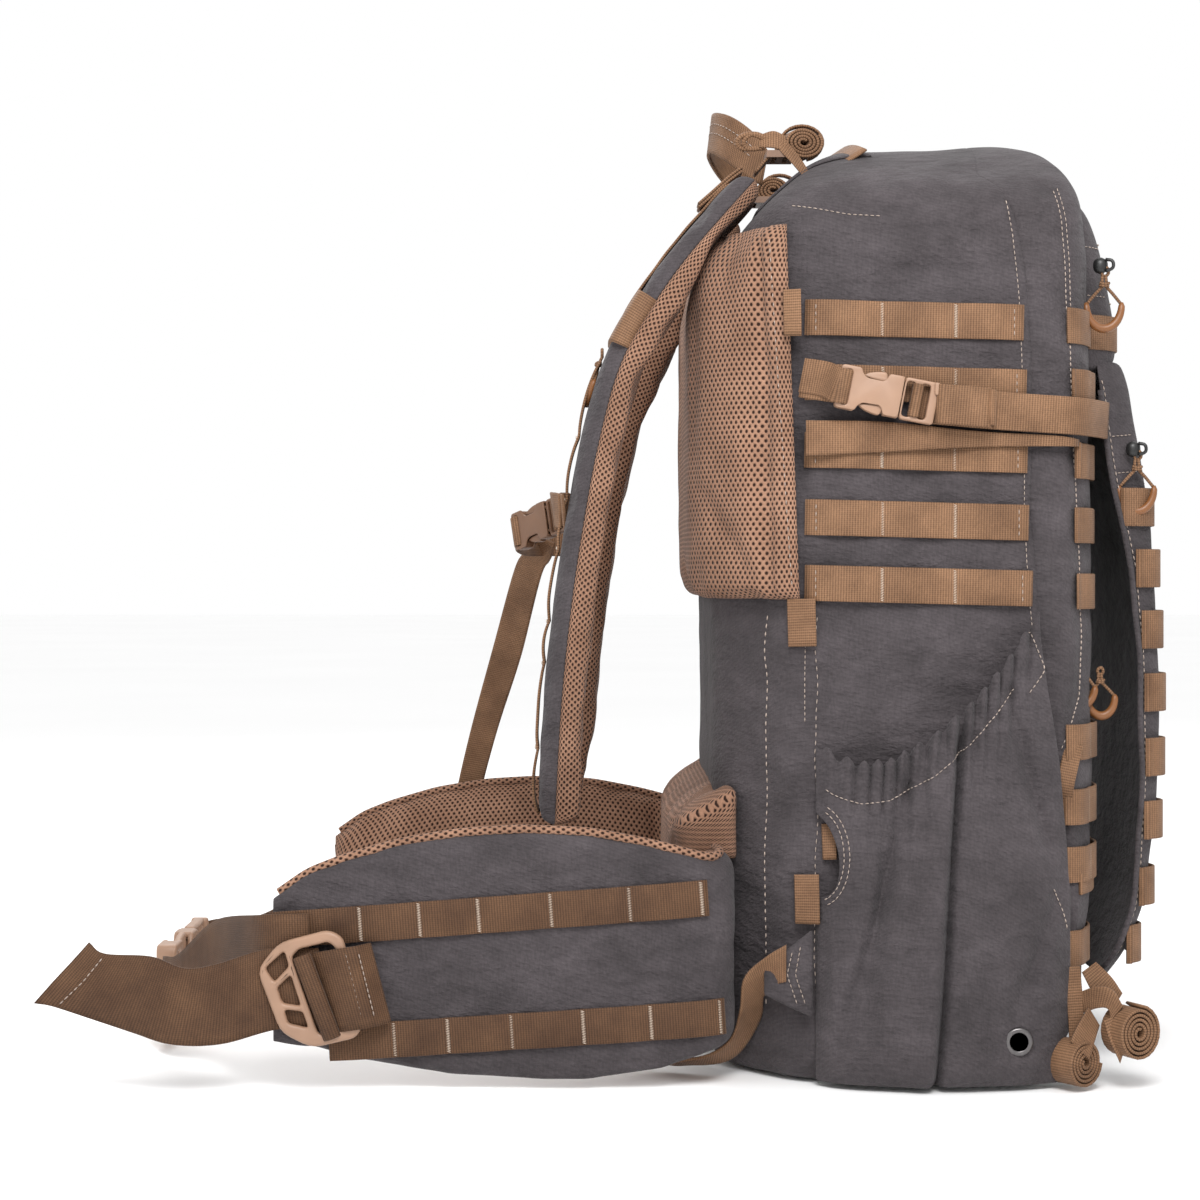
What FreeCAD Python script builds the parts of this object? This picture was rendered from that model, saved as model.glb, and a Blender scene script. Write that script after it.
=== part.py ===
import FreeCAD, Part
import math
import os

# Frame pack with a padded belt, shoulder harness, clamshell front and a load flap.
# +X points out of the pack's front, +Y to the wearer's right, +Z up, in millimetres.
# The origin is on the ground, under the middle of the base.

V = FreeCAD.Vector

# Driving dimensions
HALF_WIDTH = 150.0          # side panel to centre plane
BACK_X = -94.0              # flat of the back panel
BACK_HALF = 100.0           # half width of that flat
SIDE_BACK_X = -50.0         # where the side panel starts
SIDE_FRONT_X = 104.0        # where the side panel ends, low down
FRONT_X = 122.0             # front wall of the clamshell cover
FRONT_HALF = 108.0
TOP_Z = 545.0
SHOULDER_Z = 497.0          # top edge of the side panels
WALL = 4.0                  # lined fabric wall
WEB = 20.0                  # narrow webbing, width
WEB_THICK = 1.8
BELT_WEB = 50.0             # belt webbing, width
CLEAR = 0.4                 # gap under webbing that lies on a panel
SEAM_GAP = 1.0              # zip gap between bag and cover

# Side view of the seam between bag and cover, from the base to the top
SEAM = [(104.0, 150.0), (84.0, 262.0), (80.0, 380.0), (75.0, 436.0), (62.0, 511.0), (60.0, 600.0)]

# Shoulder strap: centre line in side view, top to bottom
STRAP = [(-70, 508), (-87, 489), (-123, 445), (-146, 404), (-158, 362), (-167, 315),
         (-174, 268), (-180, 210), (-184, 139)]
STRAP_HALF = 8.0
STRAP_Y = (-120.0, -55.0)
STRAP_MID_Y = -87.0

# Belt wing: centre line in plan, and outline in side view
WING = [(-104, -112), (-104, -138), (-120, -156), (-339, -158)]
WING_HALF = 8.0
WING_SIDE = [(-60, 24), (-83, 22), (-160, 4), (-210, 3), (-270, 9), (-339, 24), (-339, 106),
             (-270, 133), (-200, 143), (-130, 140), (-83, 130), (-60, 128)]
BELT_Z = 53.0               # centre of the belt webbing

# Load flap, side view: inner and outer faces, top to bottom
FLAP_HALF = 105.0
FLAP_INNER = [(126.5, 400), (126.5, 384), (137, 320), (146, 286), (149, 240), (151, 200),
              (150, 160), (149, 120), (145, 94), (138, 71), (127, 50)]
FLAP_OUTER = [(146, 404), (152, 362), (160, 318), (164, 263), (166, 206), (164, 154),
              (158, 102), (152, 82), (142, 59), (138, 48)]

# Joint centres, x and z, or x and y for the belt
COVER_HINGE = (104.5, 10.0)
FLAP_HINGE = (132.0, 48.0)
HARNESS_HINGE = (-66.0, 512.0)
HANDLE_HINGE = (-62.0, 514.0)
WING_HINGE = (-104.0, -112.0)
BELT_PIVOT = (-339.0, -158.0)

# Zip sliders, and where each pull's top hangs from its slider
UPPER_SLIDER = (125.0, -126.0, 458.0)
FLAP_SLIDER = (147.0, -110.0, 355.0)
PULL_AHEAD = 2.0
PULL_DROP = 6.5
PULL_PIVOT = 2.0            # hinge below the pull's top

# Buckles: overall width, thickness, centre, tilt about Y and turn about Z, in degrees
SIDE_BUCKLE = {"width": 24.0, "thick": 9.0, "at": (-5.4, -161.5, 383.4), "tilt": 11.0, "turn": 0.0}
CHEST_BUCKLE = {"width": 23.0, "thick": 8.0, "at": (-195.5, -26.0, 314.0), "tilt": -14.0, "turn": -52.0}
BELT_SAG = 21.0             # the middle belt buckle hangs this much below the ladders
BELT_BUCKLE = {"width": 60.0, "thick": 12.0, "at": (-417.0, 0.0, BELT_Z - BELT_SAG), "tilt": 0.0, "turn": 90.0}
MOUTH = 0.55                # female half's mouth, in buckle widths from the centre
FEMALE_END = 0.92           # its far end, the other way
MALE_END = 1.38             # end of the male half's ladder
ARM_Z = 0.29                # latch arm hinge above the buckle's axis, in buckle widths


def vector(axis, along, a, b):
    """Point with the given place along an axis, and a, b on the other two in X, Y, Z order."""
    if axis == "x":
        return V(along, a, b)
    if axis == "y":
        return V(a, along, b)
    return V(a, b, along)


def prism(outline, axis, low, high):
    """Closed outline extruded along an axis from low to high."""
    points = [vector(axis, low, a, b) for a, b in outline]
    face = Part.Face(Part.makePolygon(points + points[:1]))
    return face.extrude(vector(axis, high - low, 0, 0))


def box(x, y, z):
    """Box from three (low, high) pairs."""
    size = [high - low for low, high in (x, y, z)]
    return Part.makeBox(*size, V(x[0], y[0], z[0]))


def band(path, near, far):
    """Outline of a strip beside an open path, from offset near to offset far on its left."""
    normals = []
    for (ax, ay), (bx, by) in zip(path, path[1:]):
        run = math.hypot(bx - ax, by - ay)
        normals.append(((ay - by) / run, (bx - ax) / run))
    inner, outer = [], []
    for i, (x, y) in enumerate(path):
        first = normals[max(i - 1, 0)]
        second = normals[min(i, len(normals) - 1)]
        scale = 1 + first[0] * second[0] + first[1] * second[1]
        nx = (first[0] + second[0]) / scale
        ny = (first[1] + second[1]) / scale
        inner.append((x + near * nx, y + near * ny))
        outer.append((x + far * nx, y + far * ny))
    return inner + outer[::-1]


def mirrored(shape):
    """The same shape on the pack's other side."""
    return shape.mirror(V(0, 0, 0), V(0, 1, 0))


def both(shapes):
    """Shapes of one side, joined as a group with their mirror images."""
    return Part.makeCompound(shapes + [mirrored(shape) for shape in shapes])


def face_x(line, z):
    """X of a side-view line, listed top to bottom, at height z."""
    for (ax, az), (bx, bz) in zip(line, line[1:]):
        if bz <= z <= az:
            return ax + (bx - ax) * (az - z) / (az - bz)
    return line[-1][0]


def seam_x(z):
    """X of the bag's front rim at height z."""
    return face_x(SEAM[::-1], max(z, SEAM[0][1]))


def rod(start, end, radius):
    """Round bar between two points."""
    run = V(*end) - V(*start)
    return Part.makeCylinder(radius, run.Length, V(*start), run)


def ring_prism(outer, inner, axis, low, high):
    """Extruded outline with an opening."""
    return prism(outer, axis, low, high).cut(prism(inner, axis, low - 1, high + 1))


def body_block(inset):
    """The closed bag and cover as one block, with every face moved in by the inset."""
    back, front = BACK_X + inset, FRONT_X - inset
    half, low, top = HALF_WIDTH - inset, inset, TOP_Z - inset
    plan = [(back, -BACK_HALF + inset / 2), (SIDE_BACK_X + inset / 2, -half), (SIDE_FRONT_X, -half),
            (front, -FRONT_HALF + inset / 2)]
    plan += [(x, -y) for x, y in plan[::-1]]
    side = [(back, low), (SIDE_FRONT_X, low), (110 - inset, 20 + low), (front, 110), (front, 400),
            (118 - inset, 500), (110 - inset, 528 - inset), (98 - inset, top), (-17, top - 8),
            (-45 + inset, 515 - inset), (-60 + inset, SHOULDER_Z - inset), (back, 455 - inset)]
    end = [(-half, low), (half, low), (half, SHOULDER_Z - inset), (115, 522 - inset), (50, top),
           (-50, top), (-115, 522 - inset), (-half, SHOULDER_Z - inset)]
    block = prism(plan, "z", -1, TOP_Z + 1)
    block = block.common(prism(side, "y", -HALF_WIDTH - 1, HALF_WIDTH + 1))
    return block.common(prism(end, "x", BACK_X - 1, FRONT_X + 1))


def main_bag():
    rear = [(-300, -10), (SIDE_FRONT_X, -10)] + SEAM + [(-300, 600)]
    return body_block(0).cut(body_block(WALL)).common(prism(rear, "y", -200, 200))


def front_cover():
    rim = [(x + SEAM_GAP, z) for x, z in SEAM]
    ahead = [(SIDE_FRONT_X + SEAM_GAP, 14)] + rim + [(300, 600), (300, 14)]
    return body_block(0).cut(body_block(WALL)).common(prism(ahead, "y", -200, 200))


def upper_pocket():
    side = [(FRONT_X + 0.5, 409), (139, 409), (140, 430), (131, 466), (FRONT_X + 0.5, 492)]
    return prism(side, "y", -FRONT_HALF + 4, FRONT_HALF - 4)


def cover_webbing():
    round_front = [(SIDE_FRONT_X, HALF_WIDTH), (FRONT_X, FRONT_HALF), (FRONT_X, -FRONT_HALF),
                   (SIDE_FRONT_X, -HALF_WIDTH)]
    outline = band(round_front, CLEAR, CLEAR + WEB_THICK)
    rows = [388, 347, 311, 274, 190, 154, 122]
    strips = [prism(outline, "z", z - WEB / 2, z + WEB / 2) for z in rows]
    corner = prism(band(round_front[:2], CLEAR, CLEAR + WEB_THICK), "z", 412, 432)
    return Part.makeCompound(strips + [corner, mirrored(corner)])


def foam_sheet():
    return box((BACK_X + 4.5, BACK_X + 12.5), (-94, 94), (10, 445))


def frame_sheet():
    return box((BACK_X + 13, BACK_X + 14.6), (-92, 92), (12, 442))


def stays():
    return both([box((BACK_X + 14.8, BACK_X + 17.8), (30, 55), (15, 435))])


def back_pad():
    round_back = [(SIDE_BACK_X, -HALF_WIDTH), (BACK_X, -BACK_HALF), (BACK_X, BACK_HALF),
                  (SIDE_BACK_X, HALF_WIDTH)]
    return prism(band(round_back, 0.5, 8.5), "z", 269, 446)


def lumbar_pad():
    side = [(-103, 60), (-103, 160), (-109, 166), (-117, 150), (-117, 70), (-109, 60)]
    return prism(side, "y", -88, 88)


def belt_core():
    return box((-102.3, BACK_X - 0.5), (-105, 105), (22, 120))


def side_webbing():
    out = -HALF_WIDTH - CLEAR
    rows = []
    for z in [425, 389, 351, 314, 278]:
        rows.append(box((-46, seam_x(z + WEB / 2) - 2), (out - WEB_THICK, out), (z - WEB / 2, z + WEB / 2)))
    return both(rows)


def side_pocket():
    """Gathered pocket of the near side: bulged outwards, open along its sloping rim."""
    def shell(inset):
        out = -HALF_WIDTH - 0.4
        plan = [(-38 + inset, out), (-33 + inset, -166 + inset), (30, -177 + inset),
                (90 - inset, -168 + inset), (103 - inset, out)]
        return prism(plan, "z", 3 + inset, 300)
    rim = [(-38, 3), (84, 3), (98, 32), (102, 75), (103, 150), (90, 236), (82, 260), (42, 219), (12, 190),
           (-20, 180), (-38, 190)]
    hollow = shell(3).common(box((-60, 120), (-HALF_WIDTH - 40, -HALF_WIDTH - 3), (6, 301)))
    pocket = shell(0).cut(hollow).common(prism(rim, "y", -200, -HALF_WIDTH))
    return pocket.cut(rod((71, -200, 28), (71, -152, 28), 4.7))


def drain_grommets():
    ring = rod((71, -174.4, 28), (71, -172.9, 28), 7.8)
    return both([ring.cut(rod((71, -176, 28), (71, -170, 28), 4.7))])


def edge_tabs():
    out = -HALF_WIDTH - CLEAR
    tabs = [box((-49, -41), (out - WEB_THICK, out), (z, z + 25)) for z in (92, 243)]
    tabs.append(box((-56, -46.5), (-161, -159), (415, 440)))
    return both(tabs)


def lower_gussets():
    triangle = [(-42, 86), (-42, 40), (-66, 52), (-66, 64)]
    return both([prism(triangle, "y", -HALF_WIDTH - 2.4, -HALF_WIDTH - CLEAR)])


def lower_strap_webbing():
    path = [(-77, 66), (-83, 28), (-95, 12), (-122, 12), (-176, 94)]
    return both([prism(band(path, 0, WEB_THICK), "y", -142, -142 + WEB)])


def strap_yoke():
    path = [(-60, SHOULDER_Z), (-45, 515), (-17, TOP_Z - 8)]
    return prism(band(path, 0.5, 3.5), "y", -105, 105)


def lifter_buckles():
    plate = box((-62, -46), (-100, -74), (524, 528))
    slots = [box((x, x + 3), (-97, -77), (520, 530)) for x in (-59, -52)]
    return both([plate.cut(Part.makeCompound(slots))])


def lifter_rolls():
    return both([rod((-40, -98, 538), (-40, -78, 538), 8.5)])


def compression_straps():
    """Upper strap in two runs, held by the buckle, and the second strap beneath it."""
    outer, inner = -HALF_WIDTH - 6, -HALF_WIDTH - 4.2
    rear = prism([(-46, 383), (-34, 379), (-34, 399), (-46, 403)], "y", outer, inner)
    front = prism([(36, 366), (102, 361), (102, 381), (36, 386)], "y", outer, inner)
    keeper = box((40, 66), (-164, -158), (363, 387))
    beneath = [(-46, 350), (102, 349), (102, 358), (-46, 369)]
    second = prism(beneath, "y", -HALF_WIDTH - 4, -HALF_WIDTH - 2.6)
    return both([rear, front, keeper, second])


def placed(shape, buckle):
    """Moves a buckle part from its own axes to its place on the pack."""
    shape = shape.copy()
    shape.rotate(V(0, 0, 0), V(0, 1, 0), buckle["tilt"])
    shape.rotate(V(0, 0, 0), V(0, 0, 1), buckle["turn"])
    shape.translate(V(*buckle["at"]))
    return shape


def female_half(buckle):
    """Sleeve open at its mouth, with side windows for the latch arms and a slot for the strap."""
    w, t = buckle["width"], buckle["thick"] / 2
    body = box((-FEMALE_END * w, MOUTH * w), (-t, t), (-0.5 * w, 0.5 * w))
    cavity = box((-0.45 * w, w), (-t + 1.6, t - 1.6), (-0.41 * w, 0.41 * w))
    windows = box((-0.1 * w, 0.34 * w), (-t + 1.6, t - 1.6), (-w, w))
    slot = box((-0.8 * w, -0.62 * w), (-w, w), (-0.4 * w, 0.4 * w))
    return placed(body.cut(cavity).cut(windows).cut(slot), buckle)


def male_half(buckle):
    """Ladder end with two strap slots, and the middle guide that runs into the female half."""
    w, t = buckle["width"], buckle["thick"] / 2
    start = (MOUTH + 0.03) * w
    ladder = box((start, MALE_END * w), (-t + 0.5, t - 0.5), (-0.5 * w, 0.5 * w))
    slots = [box((start + a * w, start + (a + 0.17) * w), (-w, w), (-0.4 * w, 0.4 * w))
             for a in (0.09, 0.43)]
    guide = box((-0.4 * w, start), (-t + 2, t - 2), (-0.06 * w, 0.06 * w))
    return placed(ladder.cut(Part.makeCompound(slots)).fuse(guide), buckle)


def latch_arm(buckle, side):
    """Springy arm on one side, with the pad that the thumb or finger presses in the window."""
    w, t = buckle["width"], buckle["thick"] / 2
    start = (MOUTH + 0.03) * w
    outline = [(-0.28, 0.22), (-0.2, 0.36), (0.0, 0.36), (0.03, 0.47), (0.26, 0.47), (0.29, 0.36),
               (0.54, 0.34), (0.54, 0.25), (0.1, 0.25)]
    points = [(a * w, side * b * w) for a, b in outline]
    return placed(prism(points, "y", -t + 2, t - 2), buckle)


def arm_hinge(buckle, side):
    """Centre of a latch arm's hinge on the pack."""
    pivot = Part.Vertex(V(MOUTH * buckle["width"], 0, side * ARM_Z * buckle["width"]))
    return placed(pivot, buckle).Point


def bottom_straps():
    return both([box((105.5, 112), (-154, -152), (26, 62)), box((113, 130), (-154, -152), (40, 58))])


def bottom_rolls():
    return both([rod((107, -171, 13), (107, -155, 13), 11), rod((136, -171, 31), (136, -155, 31), 12)])


def shoulder_strap():
    return prism(band(STRAP, -STRAP_HALF, STRAP_HALF), "y", *STRAP_Y)


def on_strap(path, near, far):
    """Webbing on the outer face of the shoulder strap."""
    middle = STRAP_MID_Y
    return prism(band(path, -STRAP_HALF - far, -STRAP_HALF - near), "y", middle - WEB / 2, middle + WEB / 2)


def strap_webbing():
    return both([on_strap(STRAP[3:], CLEAR, CLEAR + WEB_THICK)])


def lifter_straps():
    return both([on_strap([(-70, 508), (-87, 489), (-117, 452)], CLEAR, CLEAR + WEB_THICK)])


def strap_ladders():
    low, high = STRAP_MID_Y - 15, STRAP_MID_Y + 15
    plate = box((-188, -182), (low, high), (106, 134))
    slots = [box((-200, -170), (low + 4, high - 4), (z, z + 6)) for z in (111, 122)]
    return both([plate.cut(Part.makeCompound(slots))])


def ribbon(points, width, thick):
    """Flat strap through a list of points, its width square to Y."""
    runs = []
    for a, b in zip(points, points[1:]):
        start, run = V(*a), V(*b) - V(*a)
        across = run.cross(V(0, 1, 0)).normalize()
        through = across.cross(run).normalize()
        corner = start - across * (width / 2) - through * (thick / 2)
        face = Part.Face(Part.makePolygon([corner, corner + across * width,
                                           corner + across * width + through * thick,
                                           corner + through * thick, corner]))
        runs.append(face.extrude(run))
    return runs


def sternum_strap():
    """Slack cross strap from both shoulder straps to the chest buckle, and its long hanging tail."""
    x, y, z = CHEST_BUCKLE["at"]
    half = WEB / 2
    link = [(x + 14.5, STRAP_MID_Y - 10), (x + 14, STRAP_MID_Y + 27)]
    near = prism(band(link, 0, WEB_THICK), "z", z + 6 - half, z + 6 + half)
    bow = [(x - 14, y + 21), (x - 15, y + 50), (x - 11, y + 85), (x - 1.5, y + 114), (x + 12.5, 95)]
    far = prism(band(bow, 0, WEB_THICK), "z", z - 8 - half, z - 8 + half)
    tail = ribbon([(-216, 96, 296), (-246, 184, 185), (-262, 185, 105)], WEB, WEB_THICK)
    return Part.makeCompound([near, far, tail[0].cut(tail[1]), tail[1]])


def wing_pad():
    plan = prism(band(WING, -WING_HALF, WING_HALF), "z", -5, 200)
    return plan.common(prism(WING_SIDE, "y", -200, -60))


def wing_webbing():
    out = -158 - WING_HALF - CLEAR
    upper = prism([(-338, 78), (-100, 96), (-100, 116), (-338, 98)], "y", out - WEB_THICK, out)
    lower = prism([(-300, 16), (-94, 30), (-94, 50), (-300, 36)], "y", out - WEB_THICK, out)
    return Part.makeCompound([upper, lower])


def belt_ladder():
    """Triangular frame with a strap bar, and the short webbing that sews it to the wing."""
    out = -158 - WING_HALF - 5
    frame = [(-348, BELT_Z - 10), (-330, 22), (-282, 27), (-282, 79), (-330, 84), (-348, BELT_Z + 10)]
    windows = [[(-343, BELT_Z - 7), (-334, 30), (-322, 31), (-322, 75), (-334, 76), (-343, BELT_Z + 7)],
               [(-316, 31), (-304, 32), (-304, 74), (-316, 75)],
               [(-299, 32), (-288, 33), (-288, 73), (-299, 74)]]
    plate = prism(frame, "y", out - 5, out)
    for window in windows:
        plate = plate.cut(prism(window, "y", out - 6, out + 1))
    half = BELT_WEB / 2 - 4
    patch = box((-335, -276), (out + 0.3, out + 2.2), (BELT_Z - half, BELT_Z + half))
    return Part.makeCompound([plate, patch])


def belt_webbing():
    """Belt webbing from each wing's ladder to the middle buckle."""
    w = BELT_BUCKLE["width"]
    end, start = FEMALE_END * w, MALE_END * w
    middle = BELT_Z - BELT_SAG / 2
    z = (middle - BELT_WEB / 2, middle + BELT_WEB / 2)
    left = prism(band([(-350, -156), (-388, -122), (-417, -end - 3)], -1.2, 1.2), "z", *z)
    right = prism(band([(-350, 156), (-388, 122), (-417, start + 3)], -1.2, 1.2), "z", *z)
    return Part.makeCompound([left, right])


def belt_tail():
    """Free end of the belt webbing, past the near ladder."""
    path = [(-350, -173), (-392, -181), (-430, -178), (-470, -186)]
    return prism(band(path, -1.2, 1.2), "z", BELT_Z - BELT_WEB / 2, BELT_Z + BELT_WEB / 2)


def flap():
    return prism(FLAP_OUTER + FLAP_INNER[::-1], "y", -FLAP_HALF, FLAP_HALF)


def flap_webbing():
    """Rows of webbing on the flap's outer face, following its curve."""
    rows = []
    for middle in [322, 287, 252, 216, 179, 143, 105, 72]:
        bends = [z for _, z in FLAP_OUTER if abs(z - middle) < WEB / 2]
        heights = [middle + WEB / 2] + bends + [middle - WEB / 2]
        line = [(face_x(FLAP_OUTER, z), z) for z in heights]
        rows.append(prism(band(line, CLEAR, CLEAR + WEB_THICK), "y", -FLAP_HALF + 1, FLAP_HALF - 1))
    return Part.makeCompound(rows)


def flap_strap_ends():
    path = [(131, -FLAP_HALF - 1), (114, -149)]
    return both([prism(band(path, -0.9, 0.9), "z", 361, 381)])


def grab_handle():
    arch = [(-48, 512), (-48, 552), (-34, 568), (34, 568), (48, 552), (48, 512)]
    return prism(band(arch, 0, -3), "x", -84, -62)


def slider(x, y, z):
    """Zip slider with its pull bridge, about its middle."""
    return box((x - 4, x + 4), (y - 3.5, y + 3.5), (z - 4, z + 4))


def pull(x, y, top):
    """Moulded U grip and its cord, hanging from a slider."""
    outer = [(x - 3, top), (x - 9, top - 12), (x - 9, top - 28), (x - 4, top - 35), (x + 4, top - 35),
             (x + 9, top - 28), (x + 9, top - 12), (x + 3, top)]
    inner = [(x - 1, top - 5), (x - 5, top - 13), (x - 5, top - 26), (x - 2, top - 31), (x + 2, top - 31),
             (x + 5, top - 26), (x + 5, top - 13), (x + 1, top - 5)]
    return ring_prism(outer, inner, "y", y - 2, y + 2)


def hanging_pull(place):
    x, y, z = place
    return pull(x + PULL_AHEAD, y, z - PULL_DROP)


def latch_arms(name, buckle, mirror=False):
    """Upper and lower latch arm of one buckle, by node name."""
    arms = {name + "_latch_upper": latch_arm(buckle, 1), name + "_latch_lower": latch_arm(buckle, -1)}
    if mirror:
        arms = {node: mirrored(arm) for node, arm in arms.items()}
    return arms


def nodes():
    """Every node of the pack, by name."""
    found = {
        "main_bag": main_bag(), "front_cover": front_cover(), "upper_pocket": upper_pocket(),
        "cover_webbing": cover_webbing(), "back_foam": foam_sheet(), "frame_sheet": frame_sheet(),
        "aluminium_stays": stays(), "mesh_back_pad": back_pad(), "lumbar_pad": lumbar_pad(),
        "belt_core": belt_core(), "side_webbing": side_webbing(), "side_pocket_left": side_pocket(),
        "side_pocket_right": mirrored(side_pocket()), "drain_grommets": drain_grommets(),
        "edge_tabs": edge_tabs(), "lower_gussets": lower_gussets(),
        "lower_strap_webbing": lower_strap_webbing(), "strap_yoke": strap_yoke(),
        "load_lifter_buckles": lifter_buckles(), "load_lifter_rolls": lifter_rolls(),
        "compression_straps": compression_straps(), "bottom_straps": bottom_straps(),
        "bottom_strap_rolls": bottom_rolls(),
        "compression_buckle_females": both([female_half(SIDE_BUCKLE)]),
        "compression_buckle_males": both([male_half(SIDE_BUCKLE)]),
        "shoulder_strap_left": shoulder_strap(), "shoulder_strap_right": mirrored(shoulder_strap()),
        "strap_webbing": strap_webbing(), "load_lifter_straps": lifter_straps(),
        "strap_ladder_locks": strap_ladders(), "sternum_strap": sternum_strap(),
        "sternum_buckle_female": female_half(CHEST_BUCKLE), "sternum_buckle_male": male_half(CHEST_BUCKLE),
        "belt_webbing": belt_webbing(), "belt_tail": belt_tail(),
        "belt_buckle_female": female_half(BELT_BUCKLE), "belt_buckle_male": male_half(BELT_BUCKLE),
        "load_flap": flap(), "flap_webbing": flap_webbing(), "flap_strap_ends": flap_strap_ends(),
        "grab_handle": grab_handle(),
        "upper_zip_slider": slider(*UPPER_SLIDER), "upper_zip_pull": hanging_pull(UPPER_SLIDER),
        "flap_zip_slider": slider(*FLAP_SLIDER), "flap_zip_pull": hanging_pull(FLAP_SLIDER),
    }
    for part, shape in (("belt_wing", wing_pad()), ("wing_webbing", wing_webbing()),
                        ("belt_ladder", belt_ladder())):
        found[part + "_left"] = shape
        found[part + "_right"] = mirrored(shape)
    found.update(latch_arms("left_buckle", SIDE_BUCKLE))
    found.update(latch_arms("right_buckle", SIDE_BUCKLE, mirror=True))
    found.update(latch_arms("sternum", CHEST_BUCKLE))
    found.update(latch_arms("belt", BELT_BUCKLE))
    return found


def main():
    os.makedirs("parts", exist_ok=True)
    for name, shape in nodes().items():
        for solid in shape.Solids:
            if not solid.isValid() or solid.Volume <= 0:
                raise ValueError("bad solid in " + name)
        shape.exportStep("parts/" + name + ".step")
    print(len(nodes()), "nodes written")


if __name__ in ("__main__", "part"):
    main()
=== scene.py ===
"""Looks of the hunting pack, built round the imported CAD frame, in metres, in the CAD's own frame."""

import math
import random

import bmesh
import bpy
from mathutils import Matrix, Vector, noise
from mathutils.bvhtree import BVHTree


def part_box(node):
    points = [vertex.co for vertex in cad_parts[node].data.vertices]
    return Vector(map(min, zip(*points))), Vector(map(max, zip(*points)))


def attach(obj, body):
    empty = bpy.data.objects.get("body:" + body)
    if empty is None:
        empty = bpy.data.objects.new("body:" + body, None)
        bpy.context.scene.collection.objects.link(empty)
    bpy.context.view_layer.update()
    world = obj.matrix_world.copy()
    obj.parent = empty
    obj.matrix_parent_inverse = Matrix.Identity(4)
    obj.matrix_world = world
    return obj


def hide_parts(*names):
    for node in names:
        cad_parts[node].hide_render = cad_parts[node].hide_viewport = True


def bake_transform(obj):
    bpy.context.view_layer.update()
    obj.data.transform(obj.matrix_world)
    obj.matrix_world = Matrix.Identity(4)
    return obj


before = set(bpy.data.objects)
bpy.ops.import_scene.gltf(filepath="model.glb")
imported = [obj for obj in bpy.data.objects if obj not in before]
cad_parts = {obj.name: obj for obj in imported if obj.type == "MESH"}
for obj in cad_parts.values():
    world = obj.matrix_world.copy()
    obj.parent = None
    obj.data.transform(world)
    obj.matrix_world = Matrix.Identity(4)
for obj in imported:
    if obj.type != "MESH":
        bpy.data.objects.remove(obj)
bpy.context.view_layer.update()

MM = 0.001
random.seed(7)


# ---------------------------------------------------------------- sizes taken from the frame

BAG_LOW, BAG_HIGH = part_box("main_bag")
COVER_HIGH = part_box("front_cover")[1]
HALF = BAG_HIGH.y                       # side panel to centre plane
BACK_X = BAG_LOW.x
FRONT_X = COVER_HIGH.x
TOP_Z = COVER_HIGH.z
WEB = 20 * MM                           # narrow webbing
WEB_THICK = 1.5 * MM
LIFT = 0.9 * MM                         # webbing's middle above the cloth that it lies on
SIDES = ((1, "left"), (-1, "right"))    # the wearer's sides; the left one is near the camera, at negative Y
UP = Vector((0, 0, 1))
ACROSS = Vector((0, 1, 0))              # from the near side to the far one
FROM_FRONT = (-1, 0, 0)
OUTSIDE = -200                          # y, in mm, from which lines are dropped on the near side

# Seam between bag and cover, side view (x, z), bottom to top
SEAM = [(104, 0), (104, 110), (98, 175), (86, 250), (82.6, 290), (80.5, 380), (78.4, 436), (75, 473),
        (71, 494), (64, 520), (60, 560)]
# Second stitched seam, on the cover
COVER_SEAM = [(98, 185), (111, 215), (112, 250), (110, 300), (107, 345), (102.5, 425), (99, 480), (95, 500)]
ROW_Z = [425, 389, 351.5, 314, 277.5]   # webbing rows of the side panel
ROW_BACK_X = -44                        # their sewn ends at the back seam
BARTACK_X = [-1, 39.5]
# Shoulder strap centre line, side view, top to bottom
STRAP = [(-69, 509), (-87, 489), (-108, 464.5), (-127, 438), (-146, 404), (-158, 362), (-167, 315),
         (-174, 268), (-180, 210), (-184, 139)]
STRAP_Y = -87.5
STRAP_TOP, STRAP_DROP = 0.5, 0.36       # height of the strap's top and how far it hangs, in metres
FAR_STRAP_SHIFT = 8 * MM                # the far strap hangs this much nearer the pack
FLAP_EDGE = [(126.5, 400), (127, 384), (137, 320), (146, 286), (149, 240), (151, 200), (150, 160), (149, 120),
             (145, 94), (138, 71), (128, 51)]
FLAP_FACE = [(146, 402), (152, 362), (159, 318), (163, 263), (165, 206), (163, 154), (157, 102), (151, 82),
             (142, 61), (136, 50)]
FLAP_HALF = 105
FLAP_ROWS = [322, 287, 252, 216, 179, 143, 105, 72]
COVER_ROWS = [388, 347, 311, 274, 190, 154, 122, 75]
WING_TOP = [(-339, 106), (-319, 120), (-300, 127.5), (-269, 136.5), (-236, 142), (-202, 144), (-164, 142.5),
            (-130, 136), (-96, 127)]
WING_FOOT = [(-339, 24), (-314, 21), (-291, 14.5), (-241, 6), (-191, 3), (-164, 3), (-125, 9), (-96, 18)]
# Side-release buckles: width, thickness, centre, tilt about Y and turn about Z
SIDE_BUCKLE = {"width": 24, "thick": 9, "at": (-5.4, -161.5, 383.4), "tilt": 11, "turn": 0}
CHEST_BUCKLE = {"width": 23, "thick": 8, "at": (-195.5, -26, 314), "tilt": -14, "turn": -52}
BELT_BUCKLE = {"width": 54, "thick": 12, "at": (-417, 0, 35), "tilt": 0, "turn": 90}


def mm(*values):
    """Point from millimetres."""
    return Vector([value * MM for value in values])


def track(*places):
    """Points from places in millimetres."""
    return [mm(*place) for place in places]


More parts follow.
